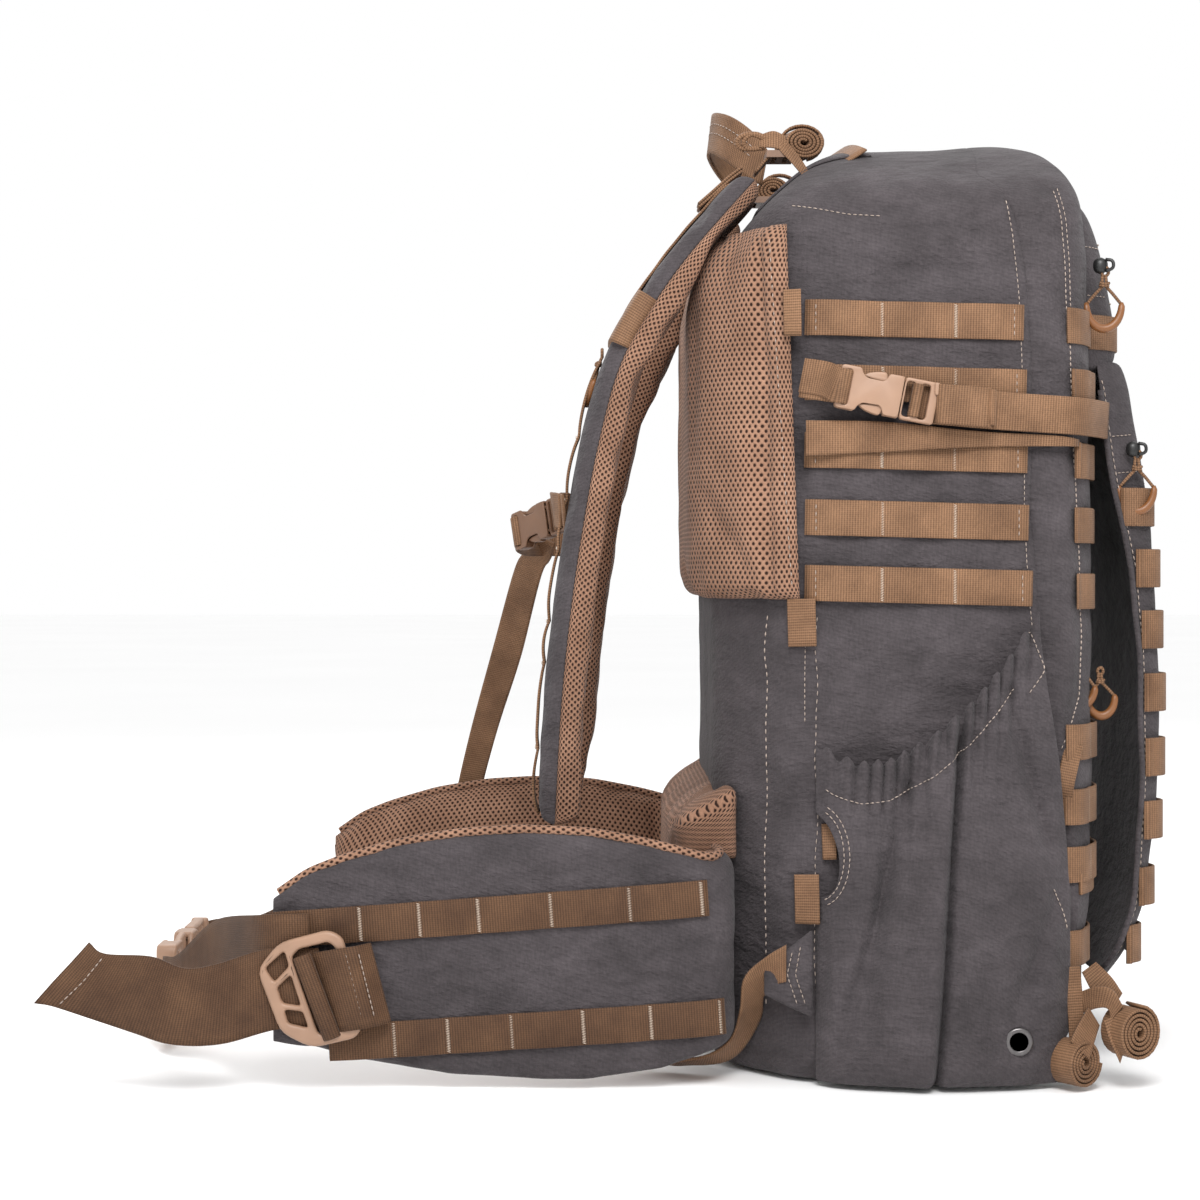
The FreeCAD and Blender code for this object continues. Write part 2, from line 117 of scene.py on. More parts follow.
def along(line, z):
    """x of a side-view line of (x, z) points at height z."""
    line = sorted(line, key=lambda p: p[1])
    if z <= line[0][1]:
        return line[0][0]
    for (ax, az), (bx, bz) in zip(line, line[1:]):
        if az <= z <= bz:
            return ax + (bx - ax) * (z - az) / (bz - az)
    return line[-1][0]


def height(line, x):
    """z of a side-view line of (x, z) points at place x."""
    return along([(z, x_) for x_, z in line], x)


def step(value):
    """Smooth rise from 0 to 1 for values from 0 to 1."""
    t = min(max(value, 0.0), 1.0)
    return t * t * (3 - 2 * t)


def bump(value, width):
    """Bell of height 1 about 0."""
    return math.exp(-(value / width) ** 2)


def curve(points, count):
    """Points evenly spaced along a smooth curve through the given ones."""
    pts = [Vector(p) for p in points]
    ends = [pts[0] * 2 - pts[1]] + pts + [pts[-1] * 2 - pts[-2]]
    dense = []
    for a, b, c, d in zip(ends, ends[1:], ends[2:], ends[3:]):
        for i in range(12):
            t = i / 12
            dense.append(0.5 * (2 * b + (c - a) * t + (2 * a - 5 * b + 4 * c - d) * t ** 2
                                + (3 * b - a - 3 * c + d) * t ** 3))
    dense.append(pts[-1])
    return spaced(dense, count)


def spaced(points, count):
    """The same polyline with evenly spaced points."""
    runs = [0.0]
    for a, b in zip(points, points[1:]):
        runs.append(runs[-1] + (b - a).length)
    out, k = [], 0
    for i in range(count):
        want = runs[-1] * i / (count - 1)
        while k < len(points) - 2 and runs[k + 1] < want:
            k += 1
        span = max(runs[k + 1] - runs[k], 1e-9)
        out.append(points[k].lerp(points[k + 1], min(max((want - runs[k]) / span, 0), 1)))
    return out


def circle(count):
    """Evenly spaced angles of a full turn."""
    return [2 * math.pi * k / count for k in range(count)]


def length_of(points):
    """Length of a polyline."""
    return sum((b - a).length for a, b in zip(points, points[1:]))


# ---------------------------------------------------------------- materials

class Nodes:
    """A material's node tree, with short ways to add and join nodes."""

    def __init__(self, name, color, roughness, **sockets):
        self.material = bpy.data.materials.new(name)
        self.material.use_nodes = True
        self.tree = self.material.node_tree
        self.shader = self.tree.nodes["Principled BSDF"]
        self.shader.inputs["Base Color"].default_value = (*color, 1)
        self.shader.inputs["Roughness"].default_value = roughness
        for key, value in sockets.items():
            self.shader.inputs[key.replace("_", " ")].default_value = value

    def add(self, kind, **settings):
        node = self.tree.nodes.new(kind)
        for key, value in settings.items():
            setattr(node, key, value)
        return node

    def join(self, output, socket):
        self.tree.links.new(output, socket)

    def math(self, operation, a, b=0.0):
        node = self.add("ShaderNodeMath", operation=operation)
        for socket, value in zip(node.inputs, (a, b)):
            if isinstance(value, (int, float)):
                socket.default_value = value
            else:
                self.join(value, socket)
        return node.outputs[0]

    def place(self, output="Object", scale=(1, 1, 1), turn=(0, 0, 0)):
        source = self.add("ShaderNodeTexCoord")
        mapping = self.add("ShaderNodeMapping")
        mapping.inputs["Scale"].default_value = scale
        mapping.inputs["Rotation"].default_value = turn
        self.join(source.outputs[output], mapping.inputs["Vector"])
        return mapping.outputs["Vector"]

    def noise(self, vector, scale, detail=3.0, roughness=0.5):
        node = self.add("ShaderNodeTexNoise")
        node.inputs["Scale"].default_value = scale
        node.inputs["Detail"].default_value = detail
        node.inputs["Roughness"].default_value = roughness
        self.join(vector, node.inputs["Vector"])
        return node.outputs["Fac"]

    def colors(self, fac, low, high, start=0.3, end=0.7):
        ramp = self.add("ShaderNodeValToRGB")
        ramp.color_ramp.elements[0].position = start
        ramp.color_ramp.elements[0].color = (*low, 1)
        ramp.color_ramp.elements[1].position = end
        ramp.color_ramp.elements[1].color = (*high, 1)
        self.join(fac, ramp.inputs["Fac"])
        return ramp.outputs["Color"]

    def greys(self, fac, low, high, start=0.3, end=0.65):
        """Ramp between two greys, to multiply a colour with."""
        return self.colors(fac, (low, low, low), (high, high, high), start, end)

    def multiply(self, a, b):
        mix = self.add("ShaderNodeMix", data_type="RGBA", blend_type="MULTIPLY")
        mix.inputs[0].default_value = 1.0
        self.join(a, mix.inputs[6])
        self.join(b, mix.inputs[7])
        return mix.outputs[2]

    def bump(self, height_output, distance, strength=1.0, before=None):
        node = self.add("ShaderNodeBump")
        node.inputs["Distance"].default_value = distance
        node.inputs["Strength"].default_value = strength
        self.join(height_output, node.inputs["Height"])
        if before is not None:
            self.join(before, node.inputs["Normal"])
        return node.outputs["Normal"]

    def finish(self, color=None, normal=None, roughness=None):
        if color is not None:
            self.join(color, self.shader.inputs["Base Color"])
        if normal is not None:
            self.join(normal, self.shader.inputs["Normal"])
        if roughness is not None:
            self.join(roughness, self.shader.inputs["Roughness"])
        return self.material


def canvas_material():
    """Grey pack cloth: fine twill, faint slubs, patches of tone and soft slanting creases, with painted shade
    in the crease valleys and painted highlight on their ridges.
    """
    m = Nodes("canvas", (0.08, 0.07, 0.075), 0.85, Sheen_Weight=0.06, Sheen_Roughness=0.5,
              Specular_IOR_Level=0.25)
    here = m.place()
    turned = (math.radians(35), math.radians(40), math.radians(30))
    twill = m.add("ShaderNodeTexWave", wave_type="BANDS", bands_direction="DIAGONAL")
    twill.inputs["Scale"].default_value = 210
    twill.inputs["Distortion"].default_value = 4.0
    twill.inputs["Detail"].default_value = 2.0
    twill.inputs["Detail Scale"].default_value = 2.0
    m.join(m.place(turn=turned), twill.inputs["Vector"])
    slubs = m.noise(m.place(scale=(1, 1, 0.25)), 900, 2, 0.6)
    patches = m.noise(here, 26, 4, 0.6)
    creases = m.noise(m.place(scale=(1, 1, 2.1), turn=(0, math.radians(32), 0)), 48, 5, 0.62)
    crinkle = m.noise(m.place(scale=(1, 1, 2.6), turn=(0, math.radians(-24), 0)), 150, 3, 0.6)
    base = m.colors(patches, (0.049, 0.0415, 0.044), (0.08, 0.068, 0.0725), 0.3, 0.7)
    # Colour follows the crease height: painted shade in the crease valleys, painted highlight on the ridges.
    crease_shade = m.greys(creases, 0.82, 1.12, 0.3, 0.72)
    weave = m.greys(twill.outputs["Fac"], 0.88, 1, 0.2, 0.8)
    grain = m.greys(slubs, 0.76, 1)
    color = m.multiply(m.multiply(m.multiply(base, crease_shade), weave), grain)
    normal = m.bump(creases, 5.5 * MM, 0.75)
    normal = m.bump(crinkle, 1.1 * MM, 0.5, normal)
    normal = m.bump(twill.outputs["Fac"], 0.1 * MM, 0.5, normal)
    normal = m.bump(slubs, 0.2 * MM, 0.5, normal)
    return m.finish(color, normal)


def webbing_material(name, dark, light):
    """Ribbed webbing: ribs across its width, two faint lines along it, lighter where it rubs."""
    m = Nodes(name, light, 0.72, Sheen_Weight=0.05, Sheen_Roughness=0.4, Specular_IOR_Level=0.3)
    flat = m.place("UV")
    parts = m.add("ShaderNodeSeparateXYZ")
    m.join(flat, parts.inputs[0])
    ribs = m.math("SINE", m.math("MULTIPLY", parts.outputs["Y"], 2 * math.pi / (1.5 * MM)))
    cords = m.math("SINE", m.math("MULTIPLY", parts.outputs["X"], 2 * math.pi / (1.1 * MM)))
    both = m.math("ADD", m.math("MULTIPLY", ribs, 0.32), m.math("MULTIPLY", cords, 0.18))
    level = m.math("ADD", both, 0.5)
    fuzz = m.noise(m.place("UV"), 700, 3, 0.6)
    wear = m.noise(m.place(), 40, 3, 0.6)
    base = m.colors(wear, dark, light, 0.3, 0.68)
    shade = m.colors(level, (0.5, 0.47, 0.43), (1, 1, 1), 0.15, 0.75)
    grain = m.greys(fuzz, 0.78, 1)
    normal = m.bump(level, 0.25 * MM, 0.9)
    return m.finish(m.multiply(m.multiply(base, shade), grain), normal)


def mesh_material():
    """Spacer mesh: rounded holes in a staggered grid, darkened with painted shade, on its own flat
    coordinates.
    """
    pitch = 3.6 * MM
    m = Nodes("mesh", (0.4, 0.22, 0.13), 0.85, Sheen_Weight=0.06, Sheen_Roughness=0.4,
              Specular_IOR_Level=0.25)
    flat = m.place("UV")
    parts = m.add("ShaderNodeSeparateXYZ")
    m.join(flat, parts.inputs[0])
    reach = []
    for offset in (0.0, 0.5):
        u = m.math("SUBTRACT", m.math("FRACT", m.math("ADD", m.math("DIVIDE", parts.outputs["X"], pitch),
                                                      offset)), 0.5)
        v = m.math("SUBTRACT", m.math("FRACT", m.math("ADD", m.math("DIVIDE", parts.outputs["Y"],
                                                                    pitch * 1.5), offset)), 0.5)
        v = m.math("MULTIPLY", v, 1.25)
        reach.append(m.math("SQRT", m.math("ADD", m.math("MULTIPLY", u, u), m.math("MULTIPLY", v, v))))
    hole = m.math("MINIMUM", reach[0], reach[1])
    tone = m.noise(m.place(), 35, 3, 0.5)
    fibre = m.noise(m.place(), 1100, 2, 0.6)
    base = m.colors(tone, (0.25, 0.132, 0.082), (0.36, 0.2, 0.13), 0.3, 0.7)
    # Near-black colour in the holes: painted shade of their depth.
    hole_shade = m.colors(hole, (0.07, 0.04, 0.028), (1, 1, 1), 0.17, 0.27)
    grain = m.greys(fibre, 0.78, 1)
    level = m.greys(hole, 0, 1, 0.12, 0.34)
    normal = m.bump(level, 0.9 * MM, 0.9)
    return m.finish(m.multiply(m.multiply(base, hole_shade), grain), normal)


def moulded_material(name, color, roughness, mottle=0.08):
    """Moulded plastic or rubber: slight colour drift and a fine moulded grain."""
    m = Nodes(name, color, roughness)
    drift = m.noise(m.place(), 60, 2, 0.5)
    grain = m.noise(m.place(), 900, 3, 0.6)
    low = [c * (1 - mottle) for c in color]
    high = [min(c * (1 + mottle), 1) for c in color]
    normal = m.bump(grain, 0.06 * MM, 0.6)
    return m.finish(m.colors(drift, low, high, 0.3, 0.7), normal)


def metal_material(name, color, roughness):
    """Metal with fine upright scuffs."""
    m = Nodes(name, color, roughness, Metallic=1.0)
    scuffs = m.noise(m.place(scale=(1, 1, 0.1)), 500, 4, 0.6)
    low = [c * 0.8 for c in color]
    return m.finish(m.colors(scuffs, low, color, 0.35, 0.65), m.bump(scuffs, 0.03 * MM, 0.5))


def thread_material(name, color):
    """Sewing thread with a visible twist."""
    m = Nodes(name, color, 0.6)
    twist = m.noise(m.place(), 1500, 2, 0.5)
    low = [c * 0.65 for c in color]
    return m.finish(m.colors(twist, low, color, 0.3, 0.65))


def foam_material():
    """Closed-cell foam."""
    m = Nodes("foam", (0.5, 0.5, 0.48), 0.9)
    cells = m.add("ShaderNodeTexVoronoi")
    cells.inputs["Scale"].default_value = 700
    m.join(m.place(), cells.inputs["Vector"])
    color = m.colors(cells.outputs["Distance"], (0.4, 0.4, 0.38), (0.56, 0.56, 0.54), 0.1, 0.6)
    return m.finish(color, m.bump(cells.outputs["Distance"], 0.3 * MM, 0.6))


def floor_material():
    """Nearly white paper."""
    m = Nodes("studio_floor", (0.97, 0.97, 0.97), 0.9)
    tone = m.noise(m.place(), 1.5, 2, 0.5)
    return m.finish(m.greys(tone, 0.96, 0.98, 0.3, 0.7))


CANVAS = canvas_material()
WEBBING = webbing_material("webbing", (0.175, 0.09, 0.046), (0.29, 0.157, 0.084))
# Belt webbing: a darker copy of the webbing, partly darker cloth and partly painted shade, since the belt
# sits low where less light falls.
DARKER_SHADED_BELT_WEBBING = webbing_material("belt_webbing", (0.082, 0.038, 0.018), (0.14, 0.07, 0.034))
MESH = mesh_material()
PLASTIC = moulded_material("plastic", (0.31, 0.185, 0.12), 0.45)
# Darker copy of the buckle plastic: painted shade on the chest buckle, which sits where less light falls; the
# lifter buckles and ladder locks share it.
SHADED_BROWN_PLASTIC = moulded_material("brown_plastic_painted_shade", (0.15, 0.075, 0.04), 0.5)
RUBBER = moulded_material("rubber", (0.19, 0.072, 0.02), 0.42)
# Black of the zip sliders, also used as painted shade in the eyelet bores.
BLACK = moulded_material("zip_metal", (0.012, 0.012, 0.012), 0.4, 0.3)
GUNMETAL = metal_material("grommet", (0.16, 0.15, 0.15), 0.35)
ALUMINIUM = metal_material("stay", (0.7, 0.7, 0.72), 0.3)
BOARD = moulded_material("board", (0.03, 0.03, 0.03), 0.5, 0.2)
FOAM = foam_material()
THREAD = thread_material("thread", (0.5, 0.4, 0.34))
BARTACK = thread_material("bartack", (0.62, 0.5, 0.4))


# ---------------------------------------------------------------- pieces

class Piece:
    """Vertices, faces and flat coordinates, in metres, that become one object."""

    def __init__(self):
        self.verts, self.faces, self.flat = [], [], []

    def grid(self, rows, flat, closed=False, caps=False):
        """Quads between rows of points. closed joins each row's end to its start."""
        start, wide = len(self.verts), len(rows[0])
        for row, marks in zip(rows, flat):
            self.verts.extend(row)
            self.flat.extend(marks)
        last = wide if closed else wide - 1
        for i in range(len(rows) - 1):
            for j in range(last):
                a, b = start + i * wide + j, start + i * wide + (j + 1) % wide
                self.faces.append((a, b, b + wide, a + wide))
        if caps:
            end = start + (len(rows) - 1) * wide
            self.faces.append(tuple(range(start + wide - 1, start - 1, -1)))
            self.faces.append(tuple(range(end, end + wide)))

    def ribbon(self, points, across, width, thick=WEB_THICK):
        """Webbing along points: flat, with rounded edges. across is one direction or one for each point."""
        half, edge = width / 2, thick / 2
        section = [(-half, 0), (-half + edge * 0.3, edge * 0.8), (-half + edge, edge), (0, edge),
                   (half - edge, edge), (half - edge * 0.3, edge * 0.8), (half, 0),
                   (half - edge * 0.3, -edge * 0.8), (half - edge, -edge), (0, -edge), (-half + edge, -edge),
                   (-half + edge * 0.3, -edge * 0.8)]
        rows, flat, run = [], [], 0.0
        for i, point in enumerate(points):
            ahead = points[min(i + 1, len(points) - 1)] - points[max(i - 1, 0)]
            side = across[i] if isinstance(across, list) else across
            normal = side.cross(ahead).normalized()
            side = ahead.cross(normal).normalized()
            if i:
                run += (point - points[i - 1]).length
            rows.append([point + side * a + normal * n for a, n in section])
            flat.append([(a, run) for a, n in section])
        self.grid(rows, flat, closed=True, caps=True)

    def tube(self, points, radius, sides=8):
        """Round cord along points."""
        rows, flat, run = [], [], 0.0
        normal = None
        for i, point in enumerate(points):
            ahead = (points[min(i + 1, len(points) - 1)] - points[max(i - 1, 0)]).normalized()
            guess = normal if normal is not None else (UP if abs(ahead.z) < 0.9
                                                       else ACROSS)
            side = ahead.cross(guess).normalized()
            normal = side.cross(ahead).normalized()
            if i:
                run += (point - points[i - 1]).length
            ring = circle(sides)
            rows.append([point + side * math.cos(a) * radius + normal * math.sin(a) * radius for a in ring])
            flat.append([(a * radius, run) for a in ring])
        self.grid(rows, flat, closed=True, caps=True)

    def stitch(self, a, b, normal, wide=0.75 * MM, tall=0.5 * MM):
        """One thread dash from a to b."""
        ahead = (b - a).normalized()
        side = normal.cross(ahead).normalized() * wide / 2
        up = normal.normalized() * tall
        rows = []
        for t, grow in ((0, 0.4), (0.5, 1), (1, 0.4)):
            p = a.lerp(b, t)
            rows.append([p - side * grow - up * 0.5, p + up * grow, p + side * grow - up * 0.5])
        self.grid(rows, [[(0, 0)] * 3] * 3, closed=True, caps=True)

    def seam(self, points, normal, pitch=4.2 * MM, dash=2.9 * MM, lift=0.25 * MM):
        """Dashes along a line. normal is one direction or one for each point."""
        runs = [0.0]
        for a, b in zip(points, points[1:]):
            runs.append(runs[-1] + (b - a).length)

        def at(d):
            k = 0
            while k < len(points) - 2 and runs[k + 1] < d:
                k += 1
            t = (d - runs[k]) / max(runs[k + 1] - runs[k], 1e-9)
            n = normal if not isinstance(normal, list) else normal[k].lerp(normal[k + 1], t)
            return points[k].lerp(points[k + 1], t), n
        d = 0.5 * pitch
        while d + dash < runs[-1]:
            a, n = at(d)
            b, _ = at(d + dash)
            self.stitch(a + n * lift, b + n * lift, n)
            d += pitch

    def bartack(self, a, b, normal):
        """Dense zigzag bar from a to b."""
        count = max(int((b - a).length / (0.9 * MM)), 4)
        ahead = (b - a).normalized()
        side = normal.cross(ahead).normalized() * 1.1 * MM
        for i in range(count):
            p = a.lerp(b, (i + 0.5) / count)
            lean = ahead * 0.35 * MM
            self.stitch(p - side - lean + normal * 0.2 * MM, p + side + lean + normal * 0.2 * MM, normal,
                        0.85 * MM, 0.55 * MM)

    def twin(self):
        """Mirror image on the pack's other side."""
        other = Piece()
        other.verts = flipped(self.verts, -1)
        other.faces = list(self.faces)
        other.flat = list(self.flat)
        return other

    def paired(self):
        """Itself and its mirror image, as one piece."""
        other, start = self.twin(), len(self.verts)
        both = Piece()
        both.verts = self.verts + other.verts
        both.flat = self.flat + other.flat
        both.faces = self.faces + [tuple(i + start for i in face) for face in self.faces]
        return both

    def make(self, name, material):
        """The piece as an object, with doubled points merged and its material slot declared."""
        mesh = bpy.data.meshes.new(name)
        mesh.from_pydata([tuple(v) for v in self.verts], [], self.faces)
        layer = mesh.uv_layers.new(name="UVMap")
        for loop in mesh.loops:
            layer.data[loop.index].uv = self.flat[loop.vertex_index]
        mesh.materials.append(material)
        mesh.polygons.foreach_set("use_smooth", [True] * len(mesh.polygons))
        fix = bmesh.new()
        fix.from_mesh(mesh)
        bmesh.ops.remove_doubles(fix, verts=fix.verts, dist=0.02 * MM)
        bmesh.ops.recalc_face_normals(fix, faces=fix.faces)
        fix.to_mesh(mesh)
        fix.free()
        obj = bpy.data.objects.new(name, mesh)
        bpy.context.collection.objects.link(obj)
        return obj


def modify(obj, kind, **settings):
    """Adds a modifier with its settings."""
    modifier = obj.modifiers.new(kind.lower(), kind)
    for key, value in settings.items():
        setattr(modifier, key, value)
    return modifier


def apply_modifiers(obj):
    """Turns the modified mesh into the object's own mesh."""
    graph = bpy.context.evaluated_depsgraph_get()
    mesh = bpy.data.meshes.new_from_object(obj.evaluated_get(graph), preserve_all_data_layers=True,
                                           depsgraph=graph)
    obj.modifiers.clear()
    obj.data = mesh


def smooth_skin(obj):
    """One round of subdivision."""
    modify(obj, "SUBSURF", levels=1, render_levels=1)
    apply_modifiers(obj)


def thicken(obj, thickness, offset=0):
    """Cloth thickness for an open sheet, then one round of subdivision."""
    modify(obj, "SOLIDIFY", thickness=thickness, offset=offset)
    smooth_skin(obj)


def surface(obj):
    """Ray-casting tree of an object's final shape."""
    return BVHTree.FromObject(obj, bpy.context.evaluated_depsgraph_get())


def drop(tree, point, direction, lift=LIFT, reach=60 * MM):
    """Place on a surface that point meets along direction, raised by lift, or else the nearest place."""
    direction = Vector(direction).normalized()
    hit, normal, _, _ = tree.ray_cast(point - direction * reach, direction)
    if hit is None:
        hit, normal, _, _ = tree.find_nearest(point)
        return hit + normal * lift, normal
    if normal.dot(direction) > 0:
        normal = -normal
    return hit - direction * lift, normal


def settle(points, rounds=2):
    """Evens out small steps in a line of points, keeping its ends."""
    for _ in range(rounds):
        points = [points[0]] + [(a + 2 * b + c) / 4 for a, b, c in zip(points, points[1:], points[2:])] \
            + [points[-1]]
    return points


def flipped(points, side):
    """Points of the near side (side 1), or their mirror image (side -1)."""
    return [Vector((p.x, p.y * side, p.z)) for p in points]


# ---------------------------------------------------------------- bag and cover

CENTRE = mm(5, 0, 270)


def block_planes():
    """Outward normals and offsets, in millimetres, of the flats that bound the bag and its cover."""
    planes = [((0, 0, -1), 0)]

    def through(a, b, make):
        (ax, ay), (bx, by) = a, b
        nx, ny = by - ay, ax - bx
        size = math.hypot(nx, ny)
        nx, ny = nx / size, ny / size
        planes.append((make(nx, ny), nx * ax + ny * ay))
    back, front, half = BACK_X / MM, FRONT_X / MM + 5, HALF / MM
    plan = [(back, 0), (back, -100), (-50, -half), (106, -half), (front, -112), (front, 0)]
    for a, b in zip(plan, plan[1:]):
        through(a, b, lambda x, y: (x, y, 0))
        if a[1] and b[1]:
            planes.append(((planes[-1][0][0], -planes[-1][0][1], 0), planes[-1][1]))
    planes.append(((0, 1, 0), half))
    side = [(104, 0), (110, 22), (front, 110), (front, 400), (118, 500), (110, 528), (98, 545), (-17, 540),
            (-48, 520), (-71, 493), (back, 466)]
    for a, b in zip(side, side[1:]):
        through(a, b, lambda x, z: (x, 0, z))
    for a, b in (((half, 497), (115, 523)), ((115, 523), (50, 545))):
        through(a, b, lambda y, z: (0, y, z))
        planes.append(((0, -planes[-1][0][1], planes[-1][0][2]), planes[-1][1]))
    return [(Vector(n), d * MM) for n, d in planes]


def creases(p):
    """Outward shift of the cloth at a point of the bag: broad slack, slanting folds and pinched seams."""
    p = Vector((p.x, abs(p.y), p.z))
    on_side = step((abs(p.y) - 120 * MM) / (20 * MM))
    broad = noise.noise(p * 11) * 1.8
    slant = Vector((p.x * 14 + p.z * 9, p.y * 4, p.z * 34 - p.x * 12))
    folds = noise.noise(slant) * 3.2 + noise.noise(slant * 2.3 + Vector((3, 1, 7))) * 1.7
    upright = noise.noise(Vector((p.x * 60, p.y * 20, p.z * 9 + 5))) * 1.0
    low = 1 - step((p.z - 200 * MM) / (80 * MM))
    shift = broad + folds * (0.8 + 0.5 * on_side) + upright * low
    for line, deep, wide in ((SEAM, 3.0, 2.2), (COVER_SEAM, 1.6, 3.0), ([(-46, 0), (-46, 500)], 2.2, 3.0)):
        away = p.x / MM - along(line, p.z / MM)
        if line[0][1] <= p.z / MM <= line[-1][1]:
            shift -= deep * bump(away, wide) * on_side
    return shift * MM * step(p.z / (25 * MM))


def block_point(p, planes):
    """Pushes a point of the bounding box radially on to the rounded block, then adds its creases."""
    ray = p - CENTRE
    total = 0.0
    for normal, offset in planes:
        lean = normal.dot(ray)
        if lean > 1e-9:
            total += (lean / (offset - normal.dot(CENTRE))) ** 34
    point = CENTRE + ray * total ** (-1 / 34)
    outward = Vector((point.x - 5 * MM, point.y * 1.4, (point.z - 270 * MM) * 0.4)).normalized()
    return point + outward * creases(point)


def block_half(name, ahead):
    """Shell of the main bag, or of the cover ahead of the seam."""
    planes = block_planes()
    back_n, front_n = 30, 12
    ny, nz = 48, 88
    count = front_n if ahead else back_n
    columns = [i / count for i in range(count + 1)]

    def x_at(t, z):
        seam = along(SEAM, z / MM) * MM
        if ahead:
            start = seam - 0.9 * MM
            return start + (FRONT_X - start) * t
        return BACK_X + (seam + 2.6 * MM - BACK_X) * t

    verts, index, faces = [], {}, []

    def vert(t, j, k):
        z = TOP_Z * k / nz
        p = Vector((x_at(t, z), -HALF + 2 * HALF * j / ny, z))
        key = (round(t, 4), j, k)
        if key not in index:
            index[key] = len(verts)
            verts.append(block_point(p, planes))
        return index[key]
    for a, b in zip(columns, columns[1:]):
        for k in range(nz):
            for j in (0, ny):
                faces.append([vert(a, j, k), vert(b, j, k), vert(b, j, k + 1), vert(a, j, k + 1)])
        for j in range(ny):
            for k in (0, nz):
                faces.append([vert(a, j, k), vert(b, j, k), vert(b, j + 1, k), vert(a, j + 1, k)])
    end = columns[-1] if ahead else columns[0]
    for j in range(ny):
        for k in range(nz):
            faces.append([vert(end, j, k), vert(end, j + 1, k), vert(end, j + 1, k + 1), vert(end, j, k + 1)])
    piece = Piece()
    piece.verts, piece.faces = verts, faces
    piece.flat = [(v.x, v.z) for v in verts]
    obj = piece.make(name, CANVAS)
    modify(obj, "SMOOTH", factor=0.5, iterations=2)
    thicken(obj, 2.2 * MM, -1)
    return obj


# ---------------------------------------------------------------- sewing

SEWN = {body: Piece() for body in ("pack", "front_cover", "load_flap", "shoulder_harness",
                                   "belt_wing_left", "grab_handle")}
TACKS = {body: Piece() for body in SEWN}


def lay(tree, points, direction, across, width, lift=LIFT):
    """Line of webbing that rests on a surface. direction points into the surface, and may vary along it."""
    out = []
    for i, point in enumerate(points):
        way = direction[i] if isinstance(direction, list) else direction
        way = Vector(way).normalized()
        best = None
        for share in (-0.42, 0, 0.42):
            hit, _ = drop(tree, point + Vector(across) * width * share, way, 0)
            gap = (hit - point).dot(way)
            best = gap if best is None else min(best, gap)
        out.append(point + way * (best - lift))
    return settle(out)


def draw_seam(body, tree, points, direction, pitch=3.2 * MM, dash=2.2 * MM):
    """Dashed stitching that follows a surface."""
    fine = spaced([Vector(p) for p in points], max(int(length_of([Vector(p) for p in points]) / (3 * MM)), 3))
    laid = [drop(tree, p, direction, 0.2 * MM) for p in fine]
    SEWN[body].seam([p for p, _ in laid], [n for _, n in laid], pitch, dash)


def puffed(points, breaks, normal, puff=1.3 * MM):
    """Raises webbing between the places where it is sewn down. breaks are shares of its length."""
    runs, total = [0.0], length_of(points)
    for a, b in zip(points, points[1:]):
        runs.append(runs[-1] + (b - a).length / total)
    marks = [0.0] + list(breaks) + [1.0]
    out = []
    for i, (point, run) in enumerate(zip(points, runs)):
        way = normal[i] if isinstance(normal, list) else normal
        rise = 0.0
        for a, b in zip(marks, marks[1:]):
            if a <= run <= b and b > a:
                rise = abs(math.sin(math.pi * (run - a) / (b - a))) ** 0.7
        out.append(point + way * rise * puff)
    return out


def sewn_row(piece, body, tree, start, end, width, breaks, direction, across, puff=1.3 * MM):
    """Row of webbing on a surface, sewn down with bartacks at the given shares of its length."""
    count = max(int((Vector(end) - Vector(start)).length / (4 * MM)), 6)
    points = spaced([Vector(start), Vector(end)], count)
    laid = lay(tree, points, direction, across, width)
    out = -Vector(direction).normalized()
    raised = puffed(laid, breaks, out, puff)
    piece.ribbon(raised, Vector(across), width)
    for share in breaks:
        spot = spaced(laid, 201)[int(share * 200)]
        half = Vector(across) * width * 0.46
        at = spot + out * (WEB_THICK / 2)
        TACKS[body].bartack(at - half, at + half, out)
    return raised


# ---------------------------------------------------------------- pads

def fine_ends(count):
    """Shares from 0 to 1 that lie closer together at both ends."""
    return [0.45 * i / count + 0.55 * (0.5 - 0.5 * math.cos(math.pi * i / count)) for i in range(count + 1)]


def normals_of(rows):
    """Unit normal at each point of a grid."""
    out = []
    for i, row in enumerate(rows):
        line = []
        for j in range(len(row)):
            along_u = rows[min(i + 1, len(rows) - 1)][j] - rows[max(i - 1, 0)][j]
            along_v = row[min(j + 1, len(row) - 1)] - row[max(j - 1, 0)]
            line.append(along_u.cross(along_v).normalized())
        out.append(line)
    return out


